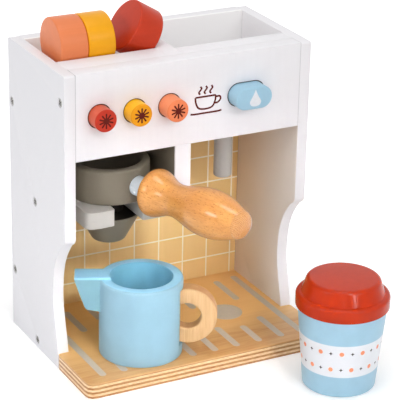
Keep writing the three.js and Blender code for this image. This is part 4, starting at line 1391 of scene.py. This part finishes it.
def jug_lip(sizes):
    """The lip's block: proud of the rim, and hollowed to follow the bowl."""
    tall, width, reach = mm(sizes, "lip_height", "lip_width", "lip_reach")
    nose, heel_out, heel_low, inner_out, inner_low = 3, 49.3, 44, 24, 40.9
    corners = [(-reach, tall, 0), (-reach, tall - nose, 0.8), (-heel_out, heel_low, 4.5)]
    corners += [(-inner_out, inner_low, 0), (-inner_out, tall, 0)]
    upright_block = Matrix.Translation((0, sizes.lip_width / 2, 0)) @ Matrix.Rotation(math.pi / 2, 4, "X")
    form = placed(slab(arc_corners(corners, 5), width), upright_block)
    cuts = 10
    for cut in range(1, cuts):
        depth = (cut / cuts - 0.5) * sizes.lip_width
        geometry = form.verts[:] + form.edges[:] + form.faces[:]
        bmesh.ops.bisect_plane(form, geom=geometry, plane_co=(0, depth, 0), plane_no=(0, 1, 0))
    for vert in form.verts:
        if vert.co.x > -(inner_out + 1) * MM:
            vert.co.x = -math.sqrt(sizes.lip_bore**2 - vert.co.y**2)

    def clear_of_bowl(edge):
        on_top = edge.verts[0].co.z > (tall - 0.2) * MM
        return on_top or max(vert.co.x for vert in edge.verts) < -30 * MM

    soften(form, [edge for edge in sharp_edges(form, 50) if clear_of_bowl(edge)], 1.1 * MM)
    return form


def jug_ring(sizes):
    """A ring with its edge cut flat where it meets the bowl."""
    radius, bore, width, edge = mm(sizes, "ring_radius", "ring_bore", "ring_width", "ring_edge")
    half = width / 2
    corners = [(bore, -half, edge), (radius, -half, edge), (radius, half, edge), (bore, half, edge)]
    ring = spun(arc_corners(corners), closed=True)
    middle = Matrix.Translation((sizes.ring_away, 0, sizes.ring_rise))
    placed(ring, middle @ Matrix.Rotation(math.pi / 2, 4, "X"))
    geometry = ring.verts[:] + ring.edges[:] + ring.faces[:]
    seat = (sizes.ring_seat, 0, 0)
    cut = bmesh.ops.bisect_plane(ring, geom=geometry, plane_co=seat, plane_no=(-1, 0, 0), clear_outer=True)
    rims = [item for item in cut["geom_cut"] if isinstance(item, bmesh.types.BMEdge)]
    bmesh.ops.holes_fill(ring, edges=rims, sides=0)
    bmesh.ops.recalc_face_normals(ring, faces=ring.faces)
    return ring


def build_jug(scene):
    """The turned body, its lip and its ring."""
    sizes = scene.toy_jug
    place = jug_place(sizes)
    finish_piece(placed(jug_bowl(sizes), place), "jug_bowl", "jug", "jug_blue", ["jug_body"])
    turned_lip = place @ Matrix.Rotation(sizes.lip_turn, 4, "Z")
    finish_piece(placed(jug_lip(sizes), turned_lip), "jug_lip", "jug", "lip_blue")
    nodes = ["jug_handle", "jug_upper_dowel", "jug_lower_dowel"]
    finish_piece(placed(jug_ring(sizes), place), "jug_ring", "jug", "ring", nodes)


# Takeaway cup


def build_takeaway(scene):
    """The takeaway cup and its domed lid."""
    sizes = scene.toy_takeaway
    place = upright(*upright_axis("takeaway_cup"))
    foot, rim, tall = mm(sizes, "foot_radius", "rim_radius", "height")
    rim_bore, floor_bore, floor = mm(sizes, "rim_bore", "floor_bore", "floor")
    outside = [(0, 0, 0), (foot, 0, 2.2), (rim, tall, 0.4)]
    inside = [(rim_bore, tall, 0.4), (floor_bore, floor, 2), (0, floor, 0)]
    cup = placed(spun(arc_corners(outside + inside)), place)
    finish_piece(cup, "banded_cup", "takeaway_cup", "band", ["takeaway_cup"])

    plug, plug_low, radius, low = mm(sizes, "plug_radius", "plug_low", "lid_radius", "lid_low")
    ledge, dome_foot, dome_top, top = mm(sizes, "ledge_height", "dome_foot", "dome_top", "lid_top")
    corners = [(0, plug_low, 0), (plug, plug_low, 0.6), (plug, low, 0), (radius, low, 1.4)]
    corners += [(radius, ledge, 3.4), (dome_foot, ledge, 0.6), (dome_top, top, 4.5), (0, top, 0)]
    lid = placed(spun(arc_corners(corners, 8)), place)
    finish_piece(lid, "domed_lid", "takeaway_lid", "lid_red", ["takeaway_lid"], smooth=50)


# Stage


def add_lamp(name, turn, rise, reach, size, power, target=(0, 0.02, 0.13), spread=180):
    """A rectangular lamp aimed at a point, from a turn off the front and a rise in degrees."""
    turn, rise = math.radians(turn), math.radians(rise)
    outward = Vector((math.sin(turn) * math.cos(rise), -math.cos(turn) * math.cos(rise), math.sin(rise)))
    data = bpy.data.lights.new(name, "AREA")
    data.shape = "RECTANGLE"
    data.size, data.size_y = size
    data.energy = power
    data.spread = math.radians(spread)
    lamp = bpy.data.objects.new(name, data)
    lamp.location = Vector(target) + outward * reach
    lamp.rotation_mode = "QUATERNION"
    lamp.rotation_quaternion = (-outward).to_track_quat("-Z", "Y")
    bpy.context.scene.collection.objects.link(lamp)


def camera_matrix(studio):
    """The camera's place and turn in the world."""
    turn, tilt, roll = studio.turn, studio.tilt, studio.roll
    forward = Vector((math.sin(turn) * math.cos(tilt), math.cos(turn) * math.cos(tilt), math.sin(tilt)))
    level = Vector((math.cos(turn), -math.sin(turn), 0))
    above = level.cross(forward)
    right = level * math.cos(roll) + above * math.sin(roll)
    up = above * math.cos(roll) - level * math.sin(roll)
    basis = Matrix((right, up, -forward)).transposed().to_4x4()
    return Matrix.Translation(studio.camera_place) @ basis


def add_camera(scene, studio):
    """A long lens from the front left, above the toy."""
    data = bpy.data.cameras.new("camera")
    data.lens = studio.lens
    data.sensor_width = 36
    data.clip_start, data.clip_end = 0.01, 20
    camera = bpy.data.objects.new("camera", data)
    camera.matrix_world = camera_matrix(studio)
    scene.collection.objects.link(camera)
    scene.camera = camera


def add_floor(scene, studio):
    """A white floor that keeps the toy's shadow and whitens with distance, where the background is seen."""
    finish = Finish("floor_white", (0.97, 0.97, 0.97), 0.9)
    away = finish.add("ShaderNodeVectorMath", {0: finish.place}, 1, operation="LENGTH")
    near_glow, glow = studio.floor_glow * 0.25, studio.floor_glow
    whitening = finish.steps(away, studio.shadow_reach, studio.glow_reach, near_glow, glow)
    finish.shader.inputs["Emission Color"].default_value = (1, 1, 1, 1)
    strength = finish.calc("MULTIPLY", finish.background_rays(), whitening)
    finish.set(finish.shader.inputs["Emission Strength"], strength)
    form = bmesh.new()
    bmesh.ops.create_grid(form, x_segments=1, y_segments=1, size=studio.floor_size)
    mesh = bpy.data.meshes.new("floor")
    form.to_mesh(mesh)
    form.free()
    mesh.materials.append(finish.material)
    floor = bpy.data.objects.new("floor", mesh)
    scene.collection.objects.link(floor)


def add_surroundings(scene, studio):
    """Even light from all round, and white where the background is seen."""
    world = bpy.data.worlds.new("surroundings")
    scene.world = world
    world.use_nodes = True
    nodes = Nodes(world.node_tree)
    background = world.node_tree.nodes["Background"]
    background.inputs["Color"].default_value = (1, 1, 1, 1)
    strength = nodes.add("ShaderNodeMix", {0: nodes.background_rays(), 2: studio.world_light, 3: 1.0})
    nodes.set(background.inputs["Strength"], strength)


def build_stage(scene):
    """Floor, surroundings, lamps and camera."""
    studio = scene.toy_studio
    add_camera(scene, studio)
    add_floor(scene, studio)
    add_surroundings(scene, studio)
    reach = studio.lamp_reach
    add_lamp("front", 0, 42, reach, (0.9, 0.9), studio.front_power)
    add_lamp("right", 20, 28, reach, (0.4, 0.5), studio.right_power)
    add_lamp("left", -45, 42, reach, (0.9, 0.9), studio.left_power)
    add_lamp("side", -79, 26, reach, (0.6, 0.45), studio.side_power)
    add_lamp("top", 0, 85, reach, (0.7, 0.7), studio.top_power)
    left_tiles, right_board, base_in_bay = (-0.045, 0.08, 0.055), (0.1, 0.09, 0.03), (-0.01, 0.06, 0.02)
    add_lamp("bay_low", 4, 14, reach, (0.3, 0.2), studio.bay_low, left_tiles, 10)
    add_lamp("bay_side", -30, 8, reach, (0.4, 0.3), studio.bay_side, right_board, 6)
    add_lamp("bay_high", -5, 38, reach, (0.2, 0.2), studio.bay_high, base_in_bay, 9)
    scene.view_settings.view_transform = "Standard"


# Operators, panel and registration


def operator(identifier, label, words, build):
    """An operator that runs one builder."""

    def execute(self, context):
        build(context.scene)
        return {"FINISHED"}

    name = "TOY_OT_" + identifier
    members = {"bl_idname": f"toy.{identifier}", "bl_label": label, "__doc__": words, "execute": execute}
    return type(name, (bpy.types.Operator,), members)


OPERATORS = [
    operator("add_boards", "Boards", "Adds the box, base board and filter holder", build_boards),
    operator("add_spout", "Water Spout", "Adds the water spout", build_spout),
    operator("add_screws", "Screws", "Adds the screw heads", build_screws),
    operator("add_base_print", "Base Print", "Adds the grey marks on the base board", build_base_print),
    operator("add_buttons", "Buttons", "Adds the four push buttons", build_buttons),
    # The hole edges are dark rings of painted shade.
    operator("add_hole_edges", "Hole Edges", "Adds the dark edges of the button holes", build_hole_edges),
    operator("add_button_prints", "Button Prints", "Adds the marks on the buttons", build_button_prints),
    operator("add_panel_print", "Panel Print", "Adds the small cup on the front panel", build_panel_print),
    operator("add_filter", "Filter", "Adds the filter and its turned handle", build_filter),
    operator("add_pods", "Pods", "Adds the three pods", build_pods),
    operator("add_jug", "Jug", "Adds the jug, its lip and its ring", build_jug),
    operator("add_takeaway", "Takeaway Cup", "Adds the cup and its lid", build_takeaway),
    operator("add_springs", "Springs", "Adds the springs of the buttons", build_springs),
    operator("dress_hidden", "Hidden Parts", "Gives the collars their finish", dress_hidden_nodes),
    operator("add_stage", "Stage", "Adds the floor, lamps and camera", build_stage),
]


class TOY_PT_coffee_maker(bpy.types.Panel):
    """Lists the pieces of the toy coffee maker"""

    bl_label = "Toy Coffee Maker"
    bl_idname = "TOY_PT_coffee_maker"
    bl_space_type = "VIEW_3D"
    bl_region_type = "UI"
    bl_category = "Toy"

    def draw(self, context):
        for item in OPERATORS:
            self.layout.operator(item.bl_idname)
        for name, group in PROPERTY_GROUPS.items():
            box = self.layout.box()
            box.label(text=group.__doc__)
            for prop in group.__annotations__:
                box.prop(getattr(context.scene, name), prop)


def register():
    for item in (*PROPERTY_GROUPS.values(), *OPERATORS, TOY_PT_coffee_maker):
        bpy.utils.register_class(item)
    for name, group in PROPERTY_GROUPS.items():
        setattr(bpy.types.Scene, name, PointerProperty(type=group))


def unregister():
    for name in PROPERTY_GROUPS:
        delattr(bpy.types.Scene, name)
    for item in reversed((*PROPERTY_GROUPS.values(), *OPERATORS, TOY_PT_coffee_maker)):
        bpy.utils.unregister_class(item)


def main():
    register()
    make_materials(bpy.context.scene)
    for item in OPERATORS:
        group, name = item.bl_idname.split(".")
        getattr(getattr(bpy.ops, group), name)()


if __name__ == "__main__":
    main()
